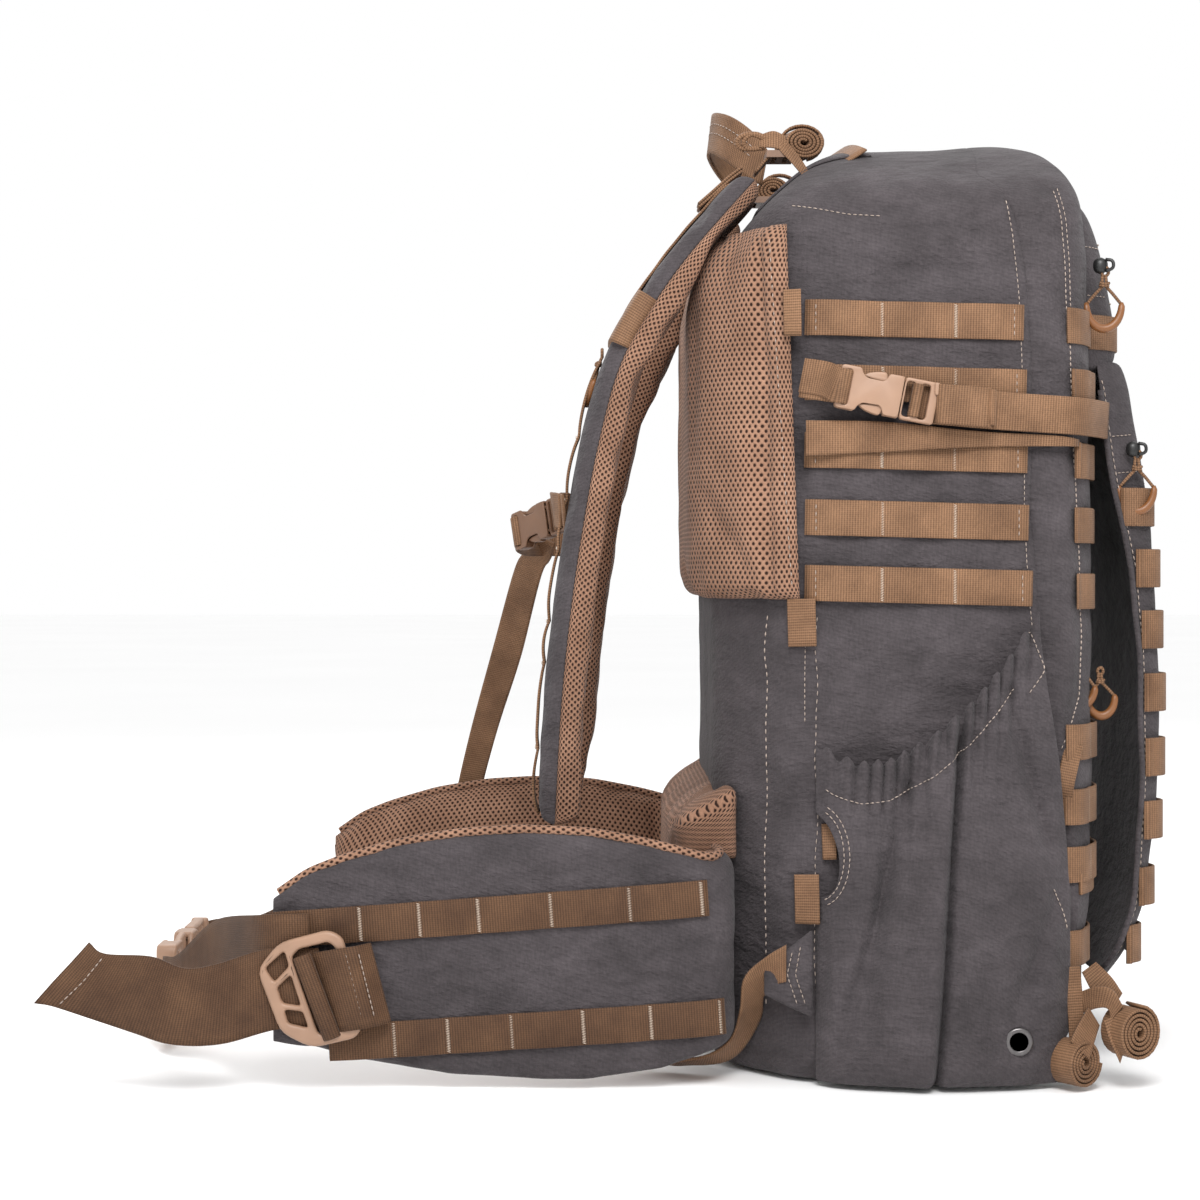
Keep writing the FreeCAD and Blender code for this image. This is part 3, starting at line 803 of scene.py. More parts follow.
def half_pad(rows, thick, edge=7 * MM, dent=None, base=0.0):
    """Closed half of a pad, on the side of the grid's normals: crowned, with rounded edges.

    dent(i_run, j_run) gives how far a seam draws the cloth in, in metres, from 0 to 1 of the thickness."""
    piece = Piece()
    normals = normals_of(rows)

    def climb(run, whole):
        return math.sqrt(max(1 - (1 - min(run, whole - run, edge) / edge) ** 2, 0))

    def over(run, whole):
        up = thick * climb(run, whole)
        return run + up if run < whole / 2 else run + 2 * thick - up
    runs_u = [[0.0] * len(rows[0])]
    for a, b in zip(rows, rows[1:]):
        runs_u.append([r + (q - p).length for r, p, q in zip(runs_u[-1], a, b)])
    skin, under, flat = [], [], []
    for i, row in enumerate(rows):
        run_v, line, below, marks = [0.0], [], [], []
        for a, b in zip(row, row[1:]):
            run_v.append(run_v[-1] + (b - a).length)
        for j, point in enumerate(row):
            du = min(runs_u[i][j], runs_u[-1][j] - runs_u[i][j])
            dv = min(run_v[j], run_v[-1] - run_v[j])
            rise = climb(runs_u[i][j], runs_u[-1][j]) * climb(run_v[j], run_v[-1])
            rise *= 0.86 + 0.14 * min(du, dv) / (min(du, dv) + 20 * MM) * 2
            if dent:
                rise *= 1 - dent(runs_u[i][j], run_v[j], runs_u[-1][j], run_v[-1])
            slack = 1 + 0.1 * noise.noise(point * 45) + 0.05 * noise.noise(point * 110)
            line.append(point + normals[i][j] * thick * rise * slack)
            below.append(point - normals[i][j] * base * min(rise * 2, 1))
            marks.append((over(runs_u[i][j], runs_u[-1][j]), over(run_v[j], run_v[-1])))
        skin.append(line)
        under.append(below)
        flat.append(marks)
    piece.grid(skin, flat)
    piece.grid(under, flat)
    return piece


def swell(obj, keep, pressure=4.0, cap=3 * MM, frames=14):
    """Cloth simulation with air pressure. Points for which keep(point) is true stay where they are."""
    mesh = obj.data
    before = [v.co.copy() for v in mesh.vertices]
    pins = obj.vertex_groups.new(name="pins")
    pins.add([v.index for v in mesh.vertices if keep(v)], 1.0, "REPLACE")
    cloth = modify(obj, "CLOTH")
    settings = cloth.settings
    settings.vertex_group_mass = "pins"
    settings.use_pressure = True
    settings.uniform_pressure_force = pressure
    settings.quality = 4
    settings.mass = 0.25
    settings.tension_stiffness = 20
    settings.compression_stiffness = 20
    settings.bending_stiffness = 0.4
    settings.shrink_min = -0.02
    settings.effector_weights.gravity = 0
    cloth.point_cache.frame_start = 1
    cloth.point_cache.frame_end = frames
    scene = bpy.context.scene
    for frame_number in range(1, frames + 1):
        scene.frame_set(frame_number)
    graph = bpy.context.evaluated_depsgraph_get()
    moved = [v.co.copy() for v in obj.evaluated_get(graph).data.vertices]
    obj.modifiers.clear()
    obj.vertex_groups.clear()
    scene.frame_set(1)
    for vertex, old, new in zip(mesh.vertices, before, moved):
        shift = new - old
        if shift.length > cap:
            shift *= cap / shift.length
        vertex.co = old + shift
    return obj


def border(rows):
    """Points of a grid's rim and underside stay put: a test on distance from the middle sheet."""
    tree = BVHTree.FromPolygons([p for row in rows for p in row],
                                [(i * len(rows[0]) + j, i * len(rows[0]) + j + 1,
                                  (i + 1) * len(rows[0]) + j + 1, (i + 1) * len(rows[0]) + j)
                                 for i in range(len(rows) - 1) for j in range(len(rows[0]) - 1)])

    def keep(vertex):
        hit = tree.find_nearest(vertex.co)
        return hit[3] is not None and hit[3] < 2.2 * MM
    return keep


def pad_object(name, rows, thick, material, body, dent=None, edge=7 * MM, cap=3 * MM, base=0.0):
    """One half of a pad as its own object, swollen by the cloth simulation."""
    obj = half_pad(rows, thick, edge, dent, base).make(name, material)
    swell(obj, border(rows), cap=cap)
    smooth_skin(obj)
    if body:
        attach(obj, body)
    return obj


def mesh_back_pad():
    """Spacer-mesh pad round the bag's back, following its slope at the top."""
    low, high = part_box("mesh_back_pad")
    plan = [(-46, -151.5), (-60, -140), (-80, -118), (-92, -100), (-95.5, -80), (-96, 0)]
    line = curve([mm(x, y, 0) for x, y in plan], 28)
    line = line + flipped(reversed(line[:-1]), -1)
    rows = []
    for share in fine_ends(58):
        p = line[0] if share == 0 else spaced(line, 401)[int(share * 400)]
        near = step((abs(p.y) / MM - 60) / 40)
        top = high.z + (39 - 6 * near) * MM
        row = []
        for t in fine_ends(44):
            z = low.z + (top - low.z) * t
            lean = max(z - 458 * MM, 0) * 0.42 * step((150 * MM - abs(p.y)) / (40 * MM))
            edge = step((abs(p.y) / MM - 130) / 20) * (z - low.z) * -0.035
            row.append(Vector((p.x + lean + edge, p.y, z)))
        rows.append(row)

    def dent(u, v, whole_u, whole_v):
        gap = min(u, whole_u - u)
        thin = 0.45 * step((v - 165 * MM) / (25 * MM)) * step((gap - 25 * MM) / (20 * MM))
        return max(0.5 * bump(gap - 15 * MM, 2.2 * MM), 0.4 * bump(gap - 72 * MM, 2.5 * MM), thin)
    if normals_of(rows)[10][10].x > 0:
        rows = rows[::-1]
    pad = pad_object("mesh_pad", rows, 8 * MM, MESH, "pack", dent=dent, edge=9 * MM)
    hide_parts("mesh_back_pad")
    tree = surface(pad)
    draw_seam("pack", tree, [mm(-51.5, -175, 275), mm(-64, -175, 470)], ACROSS, 5 * MM, 2.6 * MM)
    return pad


def lumbar():
    """Mesh block behind the belt, with a top that slopes down to the wearer."""
    plan = [(-80, -119), (-86, -121.5), (-98, -122), (-106, -119), (-109.5, -111), (-110.5, -95), (-111, -50),
            (-111, 0)]
    line = curve([mm(x, y, 0) for x, y in plan], 60)
    line = line + flipped(reversed(line[:-1]), -1)
    ridge = -85 * MM
    rows = []
    for share in fine_ends(44):
        p = spaced(line, 401)[int(share * 400)]
        end = step((abs(p.y) / MM - 88) / 14)
        foot, low_top, slope = 62 + 60 * end, 144 - 3 * end, 0.62
        top = low_top + (p.x / MM + 111) * slope
        row = [Vector((p.x, p.y, (foot + (top - foot) * t) * MM)) for t in fine_ends(20)]
        for t in (0.1, 0.25, 0.45, 0.7, 1.0):
            x = p.x + (ridge - p.x) * t
            z = (low_top + (x / MM + 111) * slope + 3 * math.sin(math.pi * min(t, 0.5))) * MM
            row.append(Vector((x, p.y * (1 - 0.12 * t), z)))
        rows.append(row)
    if normals_of(rows)[10][5].x > 0:
        rows = rows[::-1]
    pad = pad_object("lumbar_mesh", rows, 4.5 * MM, MESH, "pack", base=3 * MM, edge=5 * MM)
    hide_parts("lumbar_pad")
    return pad


def strap_sheet():
    """Middle sheet of the near shoulder strap, top to bottom by its width."""
    low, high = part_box("shoulder_strap_left")
    line = curve([mm(x, 0, z) for x, z in STRAP], 60)
    rows = []
    centre = (low.y + high.y) / 2
    for share in fine_ends(70):
        p = spaced(line, 601)[int(share * 600)]
        draw_in = 1 - 0.28 * step((share - 0.75) / 0.25) - 0.1 * bump(share, 0.1)
        half = (high.y - low.y) / 2 * draw_in
        rows.append([Vector((p.x, centre + half * (2 * t - 1), p.z)) for t in fine_ends(16)])
    return rows


def harness_point(p, side):
    """Place of a near-side point on either side. The far strap hangs a little nearer the pack."""
    if side > 0:
        return Vector(p)
    down = (STRAP_TOP - p.z) / STRAP_DROP
    return Vector((p.x + FAR_STRAP_SHIFT * step(down / 0.25) * step((1 - down) / 0.15), -p.y, p.z))


def shoulder_straps():
    """Both straps: canvas outside and spacer mesh inside. Gives the left strap's canvas."""
    rows = strap_sheet()
    if normals_of(rows)[20][5].x > 0:
        rows = [row[::-1] for row in rows]
    back = [row[::-1] for row in rows]

    def thin_top(u, v, whole_u, whole_v):
        return 0.5 * (1 - step((u - 30 * MM) / (60 * MM)))
    made = {}
    for side, label in SIDES:
        turn = [[harness_point(p, side) for p in row] for row in rows]
        turn_back = [[harness_point(p, side) for p in row] for row in back]
        if side < 0:
            turn, turn_back = turn_back, turn
        outer = pad_object("shoulder_shell_" + label, turn, 8.5 * MM, CANVAS, "shoulder_harness",
                           edge=6 * MM, cap=2 * MM)
        pad_object("shoulder_mesh_" + label, turn_back, 15 * MM, MESH, "shoulder_harness", thin_top,
                   edge=8 * MM, cap=2.5 * MM)
        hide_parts("shoulder_strap_" + label)
        made[label] = outer
    return made["left"]


def wing_sheet():
    """Middle sheet of the near belt wing, root to tip by its height."""
    plan = [(-99, -106), (-93, -128), (-91, -143), (-98, -154), (-116, -157.5), (-150, -158.5), (-210, -159),
            (-280, -159), (-339, -158)]
    line = curve([mm(x, y, 0) for x, y in plan], 90)
    rows = []
    for share in fine_ends(76):
        p = spaced(line, 801)[int(share * 800)]
        x = p.x / MM
        root = step((-abs(p.y) / MM + 156) / 20)
        top = height(WING_TOP, min(x, -96)) - 1.5 + root * 3
        foot = height(WING_FOOT, min(x, -96)) + 1.5
        if x > -96:
            foot += (x + 96) * 0.6
        rows.append([Vector((p.x, p.y, (foot + (top - foot) * t) * MM)) for t in fine_ends(34)])
    return rows


def belt_wings():
    """Each wing: canvas outside, spacer mesh inside, and a mesh edging along its top."""
    rows = wing_sheet()
    if normals_of(rows)[50][10].y > 0:
        rows = [row[::-1] for row in rows]

    def dent(u, v, whole_u, whole_v):
        return 0.35 * bump(u - 75 * MM, 3 * MM)
    made = {}
    for side, label in SIDES:
        turn = [flipped(row, side) for row in rows]
        turn_back = [row[::-1] for row in turn]
        if side < 0:
            turn, turn_back = turn_back, turn
        outer = pad_object("wing_shell_" + label, turn, 7.5 * MM, CANVAS, None, cap=2.5 * MM,
                           edge=10 * MM)
        inner = pad_object("wing_mesh_" + label, turn_back, 9 * MM, MESH, None, dent, cap=3 * MM,
                           edge=10 * MM)
        made[label] = surface(outer)
        edging = Piece()
        top = [max(row, key=lambda p: p.z) for row in turn]
        edging.tube([p + Vector((0, 0, 0.6 * MM)) for p in settle(top)[2:-2]], 2.6 * MM, 8)
        rim = edging.make("wing_edging_" + label, MESH)
        body = "belt_wing_" + label
        for piece in (outer, inner, rim):
            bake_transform(piece)
        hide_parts(body)
    return made["left"]


# ---------------------------------------------------------------- side pocket

POCKET_BACK = -38                       # x of the pocket's back edge, in mm
POCKET_LENGTH = 141
POCKET_FOOT = 2.5                       # z of its lowest line
RIM_END = 84                            # x at which the rim meets the front seam
CUT_Z, CUT_DEEP, CUT_HALF = 128, 12, 23     # half-round opening in the back edge
RIM = [(POCKET_BACK, 190), (-28, 183), (-14, 179), (2, 181), (25, 194), (47, 213), (64, 233), (84, 262)]


def pocket_out(x, z, top):
    """How far the pocket stands off the bag, in millimetres."""
    across = min(max((x - POCKET_BACK) / POCKET_LENGTH, 0), 1)
    belly = math.sin(math.pi * across ** 0.9) ** 0.55
    drop_from_rim = top - z
    open_by = 15 + 11 * step((170 - z) / 120)
    foot = math.sqrt(max(1 - (1 - min(z / 16, 1)) ** 2, 0))
    out = belly * open_by * (0.35 + 0.65 * foot)
    neck = bump(drop_from_rim - 21, 7) * 3.0
    gather = math.exp(-drop_from_rim / 26) * belly
    phase = x * 0.76 + 1.4 * math.sin(x * 0.11) + drop_from_rim * 0.03
    ruffle = math.sin(phase) * 3.2 + math.sin(phase * 1.9 + 1.2) * 1.3
    out += ruffle * gather - neck * belly
    pleat = 40 - (190 - z) * 0.075
    out -= 9.0 * bump(x - pleat, 2.4) * step(drop_from_rim / 20)
    out += 3.5 * bump(x - pleat + 7, 6) * step(drop_from_rim / 20)
    fold_a = 17 - (190 - z) * 0.21 - ((190 - z) / 100) ** 2 * 3
    out -= 5.0 * bump(x - fold_a, 5.0) * step(drop_from_rim / 25) * step(z / 60)
    fold_b = 68 + (215 - z) * 0.26
    out -= 4.6 * bump(x - fold_b, 5.0) * step(drop_from_rim / 25) * step((z - 110) / 40)
    fold_c = 70 + (z - 45) * 0.42
    out -= 4.2 * bump(x - fold_c, 5) * step((z - 30) / 30) * step((140 - z) / 30)
    fold_d = -8 + (z - 60) * 0.12
    out -= 3.4 * bump(x - fold_d, 5) * step((z - 20) / 30) * step((150 - z) / 40)
    out += 1.6 * noise.noise(Vector((x * 0.05, z * 0.018, 3.1)))
    return max(out, 0.6) * min(across * 16, 1) ** 0.5 * min((1 - across) * 14, 1) ** 0.5


def side_pockets():
    """Stretch pocket of each side, gathered at its sloping rim, with a half-round opening at the back."""
    rows, flat = [], []
    wide, tall = 130, 96
    for i in range(wide + 1):
        row, marks = [], []
        for j in range(tall + 1):
            t = (j / tall) ** 0.85
            share = i / wide
            top = height(RIM, min(POCKET_BACK + POCKET_LENGTH * share, RIM_END))
            z = POCKET_FOOT + (top - POCKET_FOOT) * t
            left = POCKET_BACK + CUT_DEEP * math.sqrt(max(1 - ((z - CUT_Z) / CUT_HALF) ** 2, 0))
            right = min(along(SEAM, z) - 1.2, 103) - 4 * math.sqrt(max(1 - min(z / 30, 1) ** 2, 0)) * 2
            x = left + (right - left) * share
            top = height(RIM, min(x, RIM_END))
            z = POCKET_FOOT + (top - POCKET_FOOT) * t
            wave = 2.4 * math.sin(x * 0.76 + 1.4 * math.sin(x * 0.11)) * t ** 8
            out = pocket_out(x, z, top)
            row.append(mm(x, -150.6 - out, z + wave))
            marks.append((x * MM, z * MM))
        rows.append(row)
        flat.append(marks)
    sheet = Piece()
    sheet.grid(rows, flat)
    made = None
    for label, piece in (("left", sheet), ("right", sheet.twin())):
        obj = piece.make("stretch_pocket_" + label, CANVAS)
        thicken(obj, 1.8 * MM)
        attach(obj, "pack")
        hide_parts("side_pocket_" + label)
        made = made or surface(obj)
    hem = [mm(x, OUTSIDE, height(RIM, x) - 22) for x in range(-34, 76, 5)]
    draw_seam("pack", made, hem, ACROSS, 3.0 * MM, 2.2 * MM)
    draw_seam("pack", made, track((78, OUTSIDE, 255), (88, OUTSIDE, 231), (77, OUTSIDE, 216)), ACROSS)
    draw_seam("pack", made, track((92, OUTSIDE, 111), (98, OUTSIDE, 98), (101, OUTSIDE, 86)), ACROSS)
    for off in (2.5, 5.5):
        deep, half = CUT_DEEP + off, CUT_HALF + off
        arc = [mm(POCKET_BACK + deep * math.sin(a), OUTSIDE, CUT_Z + half * math.cos(a))
               for a in [math.pi * k / 12 for k in range(1, 12)]]
        draw_seam("pack", made, arc, ACROSS, 3.2 * MM, 2.3 * MM)
    return made


def grommets(pocket_tree):
    """Drain eyelet: a rolled metal ring, with a black disc in its bore as painted shade of the hole."""
    spot, _ = drop(pocket_tree, mm(71, OUTSIDE, 28), (0, 1, 0), 0.4 * MM)
    ring, shade_disc = Piece(), Piece()
    rows = []
    for k in range(33):
        a = 2 * math.pi * k / 32
        spoke = Vector((math.cos(a), 0, math.sin(a)))
        rows.append([spot + spoke * (6.2 + 1.7 * math.cos(b)) * MM + Vector((0, -1.3 * math.sin(b) * MM, 0))
                     for b in circle(10)])
    ring.grid(rows, [[(0, 0)] * 10] * 33, closed=True)
    # Black disc inside the ring: painted shade of the eyelet's hole.
    disc = [[spot + Vector((math.cos(a) * r, -1.0 * MM, math.sin(a) * r)) for a in circle(24)]
            for r in (5.2 * MM, 2.5 * MM, 0.2 * MM)]
    shade_disc.grid(disc, [[(0, 0)] * 24] * 3, closed=True, caps=True)
    rings = ring.paired().make("eyelets", GUNMETAL)
    shade_discs = shade_disc.paired().make("eyelet_shade_discs", BLACK)
    for obj in (rings, shade_discs):
        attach(obj, "pack")
    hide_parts("drain_grommets")


# ---------------------------------------------------------------- webbing on the bag

def strip(piece, tops, bottoms, thick=WEB_THICK, count=30, ripple=0.0):
    """Webbing between two edge lines, for straps that twist or sag."""
    upper, lower = curve(tops, count), curve(bottoms, count)
    rows, flat, run = [], [], 0.0
    for i, (a, b) in enumerate(zip(upper, lower)):
        ahead = (upper[min(i + 1, count - 1)] + lower[min(i + 1, count - 1)]
                 - upper[max(i - 1, 0)] - lower[max(i - 1, 0)])
        normal = (b - a).cross(ahead).normalized()
        if i:
            run += ((upper[i] + lower[i]) / 2 - (upper[i - 1] + lower[i - 1]) / 2).length
        width = (b - a).length
        row, marks = [], []
        for side in (1, -1):
            for t in ((0.01, 0.1, 0.35, 0.65, 0.9, 0.99) if side > 0 else (0.99, 0.9, 0.65, 0.35, 0.1, 0.01)):
                sway = ripple * math.sin(run * 95 + t * 4) * math.sin(math.pi * t * 0.9)
                row.append(a.lerp(b, t) + normal * (side * thick / 2 + sway))
                marks.append((t * width, run))
        rows.append(row)
        flat.append(marks)
    piece.grid(rows, flat, closed=True, caps=True)


def side_rows(bag_tree):
    """Five rows on each side panel, sewn at the back seam, at two bartacks and at the front seam."""
    piece = Piece()
    for z in ROW_Z:
        end_x = along(SEAM, z) - 1.8
        start, end = mm(ROW_BACK_X, -175, z + 1.4), mm(end_x, -175, z - 1.8)
        breaks = [(x - ROW_BACK_X) / (end_x - ROW_BACK_X) for x in BARTACK_X]
        raised = sewn_row(piece, "pack", bag_tree, start, end, WEB, breaks, (0, 1, 0), (0, 0, 1), 1.6 * MM)
        for share in (0.955, 0.05):
            at = spaced(raised, 201)[int(share * 200)] + Vector((0, -WEB_THICK / 2, 0))
            tall = Vector((0, 0, WEB * 0.47))
            SEWN["pack"].seam([at - tall, at + tall], Vector((0, -1, 0)), 4 * MM, 2.6 * MM)
    rows = piece.paired().make("side_rows", WEBBING)
    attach(rows, "pack")
    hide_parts("side_webbing")
    tabs = Piece()
    for x, top, low, wide in ((-52, 441, 415.5, 10), (-46.3, 270, 243.5, 16), (-43.5, 117, 90, 14),
                              (-31, 145, 125.5, 8)):
        for layer in (0, 1):
            line = lay(bag_tree, spaced([mm(x, -185, top), mm(x + 0.5, -185, low)], 8), (0, 1, 0),
                       (1, -0.3, 0), wide * MM, (9.6 if top > 400 else 1.2) * MM + layer * 1.7 * MM)
            tabs.ribbon(line, Vector((1, -0.3, 0)), wide * MM)
    tabs_made = tabs.paired().make("tabs", WEBBING)
    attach(tabs_made, "pack")
    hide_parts("edge_tabs")


def bag_stitching(bag_tree, cover_tree):
    """Dashed seams of the bag and its cover."""
    near = ACROSS
    draw_seam("pack", bag_tree, [mm(x - 3.6, OUTSIDE, z) for x, z in SEAM[3:-2]], near)
    draw_seam("front_cover", cover_tree, [mm(x, OUTSIDE, z) for x, z in COVER_SEAM], near)
    draw_seam("front_cover", cover_tree, [mm(x + 2.6, OUTSIDE, z) for x, z in COVER_SEAM[5:]], near)
    draw_seam("pack", bag_tree, track((-52, OUTSIDE, 490), (-20, OUTSIDE, 484), (-2, OUTSIDE, 483)), near)
    slant = (0.6, 0.8, 0)
    for x, y in ((-84, -120), (-64, -145)):
        draw_seam("pack", bag_tree, track((x, y - 40, 40), (x - 1, y - 40, 150), (x, y - 40, 262)), slant,
                  4.6 * MM, 2.6 * MM)
    draw_seam("pack", bag_tree, [mm(-44, OUTSIDE, 200), mm(-44, OUTSIDE, 262)], near)


def hug(tree, fine, reach, rounds, lift=LIFT):
    """Level line of webbing pressed on to a rounded surface, and the way out of it at each point."""
    line, ways = [], []
    last = len(fine) - 1
    for i, p in enumerate(fine):
        ahead = fine[min(i + 1, last)] - fine[max(i - 1, 0)]
        way = Vector((-ahead.y, ahead.x, 0)).normalized()
        best = min((drop(tree, p + Vector((0, 0, k * 8 * MM)), way, 0, reach)[0] - p).dot(way)
                   for k in (-1, 0, 1))
        line.append(p + way * (best - lift))
        ways.append(-way)
    return settle(line, rounds), ways


def corner_row(piece, body, line, ways, places, share, puff, width, tack):
    """Webbing from the near side round to the far one, sewn down at places, in mm from its start.

    share is the part of the line that takes bartacks, and tack a bartack's half height in webbing widths."""
    total = length_of(line)
    marks = [(d * MM) / total for d in places if d * MM < total * share]
    raised = puffed(line, marks, ways, puff)
    piece.ribbon(raised + flipped(reversed(raised[:-1]), -1), UP, width)
    for mark in marks:
        k = int(mark * (len(line) - 1))
        half = Vector((0, 0, WEB * tack))
        at = line[k] + ways[k] * WEB_THICK / 2
        TACKS[body].bartack(at - half, at + half, ways[k])


def cover_path(start_x, z, tree):
    """Webbing line round the cover's near corner to its middle, at height z."""
    plan = [(start_x, -150), (104, -150), (113, -131), (122, -108), (123, -60), (123, 0)]
    fine = settle(spaced([mm(x, y, z) for x, y in plan], 60), 6)
    return hug(tree, fine, 30 * MM, 4)


def cover_rows(cover_tree):
    """Rows round the cover's front corners, from the second seam to the middle and on to the other side."""
    piece = Piece()
    for z in COVER_ROWS:
        start = max(along(COVER_SEAM, z) + 1.5, 101.5) if z > 185 else 98 + (z - 75) * 0.02
        line, ways = cover_path(start, z, cover_tree)
        corner_row(piece, "front_cover", line, ways, (26, 60, 96, 132), 0.97, 1.5 * MM, WEB, 0.45)
    for start, z, count, width in ((101.5, 422, 22, WEB), (109, 111, 30, 12 * MM)):
        short = cover_path(start, z, cover_tree)[0][:count]
        for side in (1, -1):
            piece.ribbon(flipped(short, side), UP, width)
    for side in (1, -1):
        tab = [drop(cover_tree, mm(x, -190, z), ACROSS, 1.4 * MM)[0]
               for x, z in ((106, 189), (101, 170), (99, 155))]
        piece.ribbon(flipped(tab, side), Vector((1, 0, 0.2)), 10 * MM)
    rows = piece.make("cover_rows", WEBBING)
    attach(rows, "front_cover")
    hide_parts("cover_webbing")


def upper_front_pocket():
    """Flat pocket high on the cover, with a zip band and its stitched box."""
    side = [(117, 497), (124, 488), (131, 468), (137, 440), (139, 425), (139.5, 408), (133, 402), (121, 400)]
    line = curve([mm(x, 0, z) for x, z in side], 34)
    rows, flat, run = [], [], 0.0
    for i, p in enumerate(line):
        if i:
            run += (p - line[i - 1]).length
        row, marks = [], []
        for k in range(41):
            y = -118 * MM + 236 * MM * k / 40
            away = max(abs(y) - 88 * MM, 0) / (30 * MM)
            x = p.x - (p.x - 104 * MM) * away ** 2.2 * 0.95
            slack = 1.2 * noise.noise(Vector((y * 14, p.z * 22, 4))) * MM
            row.append(Vector((x + slack, y, p.z)))
            marks.append((y, run))
        rows.append(row)
        flat.append(marks)
    piece = Piece()
    piece.grid(rows, flat)
    obj = piece.make("upper_pocket_shell", CANVAS)
    thicken(obj, 2.4 * MM)
    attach(obj, "front_cover")
    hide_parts("upper_pocket")
    tree = surface(obj)
    slant = (-0.55, 0.83, 0)
    box_side = [mm(113 + 20, -116 - 30, z) for z in (444, 470)]
    draw_seam("front_cover", tree, box_side, slant, 3.4 * MM, 2.3 * MM)
    for z in (471, 443):
        draw_seam("front_cover", tree, track((113 + 20, -146, z), (125 + 20, -140, z), (133 + 18, -126, z)),
                  slant, 3.4 * MM, 2.2 * MM)
    for z in (474, 440):
        face = [mm(150, y, z) for y in (-98, 0, 98)]
        draw_seam("front_cover", tree, face, FROM_FRONT, 3.8 * MM, 2.6 * MM)
    band = Piece()
    row = [drop(tree, mm(170, y, 422), FROM_FRONT, 1.4 * MM)[0] for y in range(-117, 118, 3)]
    band.ribbon(settle(row, 2), UP, WEB)
    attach(band.make("pocket_row", WEBBING), "front_cover")
    return tree


# ---------------------------------------------------------------- load flap

def flap_sheet(offset):
    """Grid of the flap's outer face moved inwards by offset, from hood to foot, near edge to far."""
    rows = []
    tops = [(127.5 + offset, 404.5 - offset), (137, 406 - offset), (145 - offset * 0.6, 402 - offset)]
    face = [mm(x - offset, 0, z) for x, z in FLAP_FACE[1:]]
    spine = curve([mm(x, 0, z) for x, z in tops] + face, 90)
    for p in spine:
        z = p.z / MM
        edge_x = along(FLAP_EDGE, min(max(z, 51), 400)) + offset * 0.2
        foot = step((70 - z) / 25)
        half = FLAP_HALF + 7 - offset * 0.7 - 14 * foot - 6 * step((z - 385) / 20)
        row = []
        for k in range(61):
            share = 1 - (1 - abs(k - 30) / 30) ** 1.5
            y = half * math.copysign(share, k - 30)
            wrap = max(share - 0.865, 0) / 0.135
            x = p.x / MM - (p.x / MM - edge_x) * wrap ** 1.7
            waves = 1.1 * noise.noise(Vector((y * 0.02, z * 0.03, 2)))
            edge_wave = 1.3 * math.sin(z * 0.085) * wrap
            row.append(mm(x + waves + edge_wave * 0.4, y + edge_wave * (1 if y > 0 else -1) * 0.4, z))
        rows.append(row)
    return rows


def load_flap():
    """Padded load flap: face, lining and a rolled hem along both sides."""
    outer, inner = flap_sheet(0), flap_sheet(5.5)
    piece = Piece()
    loops = []
    for front, back in zip(outer, inner):
        loops.append(front + back[::-1])
    flat = [[(p.y, p.z) for p in loop] for loop in loops]
    piece.grid(loops, flat, closed=True, caps=False)
    start, end = len(loops[0]), (len(loops) - 1) * len(loops[0])
    for base in (0, end):
        count = len(outer[0])
        for j in range(count - 1):
            a, b = base + j, base + j + 1
            c, d = base + start - 2 - j, base + start - 1 - j
            piece.faces.append((a, b, c, d))
    obj = piece.make("flap_shell", CANVAS)
    smooth_skin(obj)
    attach(obj, "load_flap")
    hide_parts("load_flap")
    tree = surface(obj)
    hems = Piece()
    hem = [row[0] + mm(0.4, -0.6, 0) for row in outer[8:-2]]
    hems.tube(settle(hem, 3), 1.7 * MM, 7)
    hem_made = hems.paired().make("flap_hems", CANVAS)
    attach(hem_made, "load_flap")
    near = (-0.5, 0.87, 0)
    edge = [mm(along(FLAP_EDGE, z) + 15 + 4.0, -112 - 26, z) for z in range(62, 399, 8)]
    draw_seam("load_flap", tree, edge, near, 3.8 * MM, 2.5 * MM)
    for z in (362, 341):
        face = along(FLAP_FACE, z) - along(FLAP_EDGE, z)
        line = [mm(along(FLAP_EDGE, z) + 15 + share * face, -138 + share * 6, z + share * 2)
                for share in (0.15, 0.4, 0.65, 0.9)]
        draw_seam("load_flap", tree, line, near, 3.0 * MM, 2.1 * MM)
    for z in (362, 336):
        draw_seam("load_flap", tree, [mm(185, y, z) for y in (-96, 0, 96)], FROM_FRONT, 3.8 * MM, 2.6 * MM)
    return tree


def flap_rows(tree):
    """Rows across the flap that stand up in loops between their bartacks."""
    piece = Piece()
    for z in FLAP_ROWS:
        start = along(FLAP_EDGE, z) + 2.0
        face = along(FLAP_FACE, z)
        foot = step((70 - z) / 25)
        half = FLAP_HALF + 4.5 - 14 * foot
        plan = [(start, -half), (start + (face - start) * 0.7, -half + 4), (face + 0.5, -half + 14),
                (face + 1, -60), (face + 1, 0)]
        fine = settle(spaced([mm(x, y, z) for x, y in plan], 56), 2)
        line, ways = hug(tree, fine, 25 * MM, 3)
        corner_row(piece, "load_flap", line, ways, (3, 29, 66, 103), 0.96, 2.6 * MM, WEB + 2 * MM, 0.48)
    rows = piece.make("flap_rows", WEBBING)
    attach(rows, "load_flap")
    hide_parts("flap_webbing")


# ---------------------------------------------------------------- compression straps

def loop_band(piece, left, right, y_front, y_back, z, width, tilt=0.0):
    """Band folded over on itself: a flat loop, seen from above."""
    pts = [(left, y_back), (left + 2, y_front - (y_front - y_back) * 0.2), (left + 6, y_front),
           (right - 4, y_front), (right, (y_front + y_back) / 2), (right - 4, y_back), (left + 4, y_back)]
    line = curve([mm(x, y, z + tilt * (x - left)) for x, y in pts], 30)
    piece.ribbon(line, UP, width * MM, 1.7 * MM)


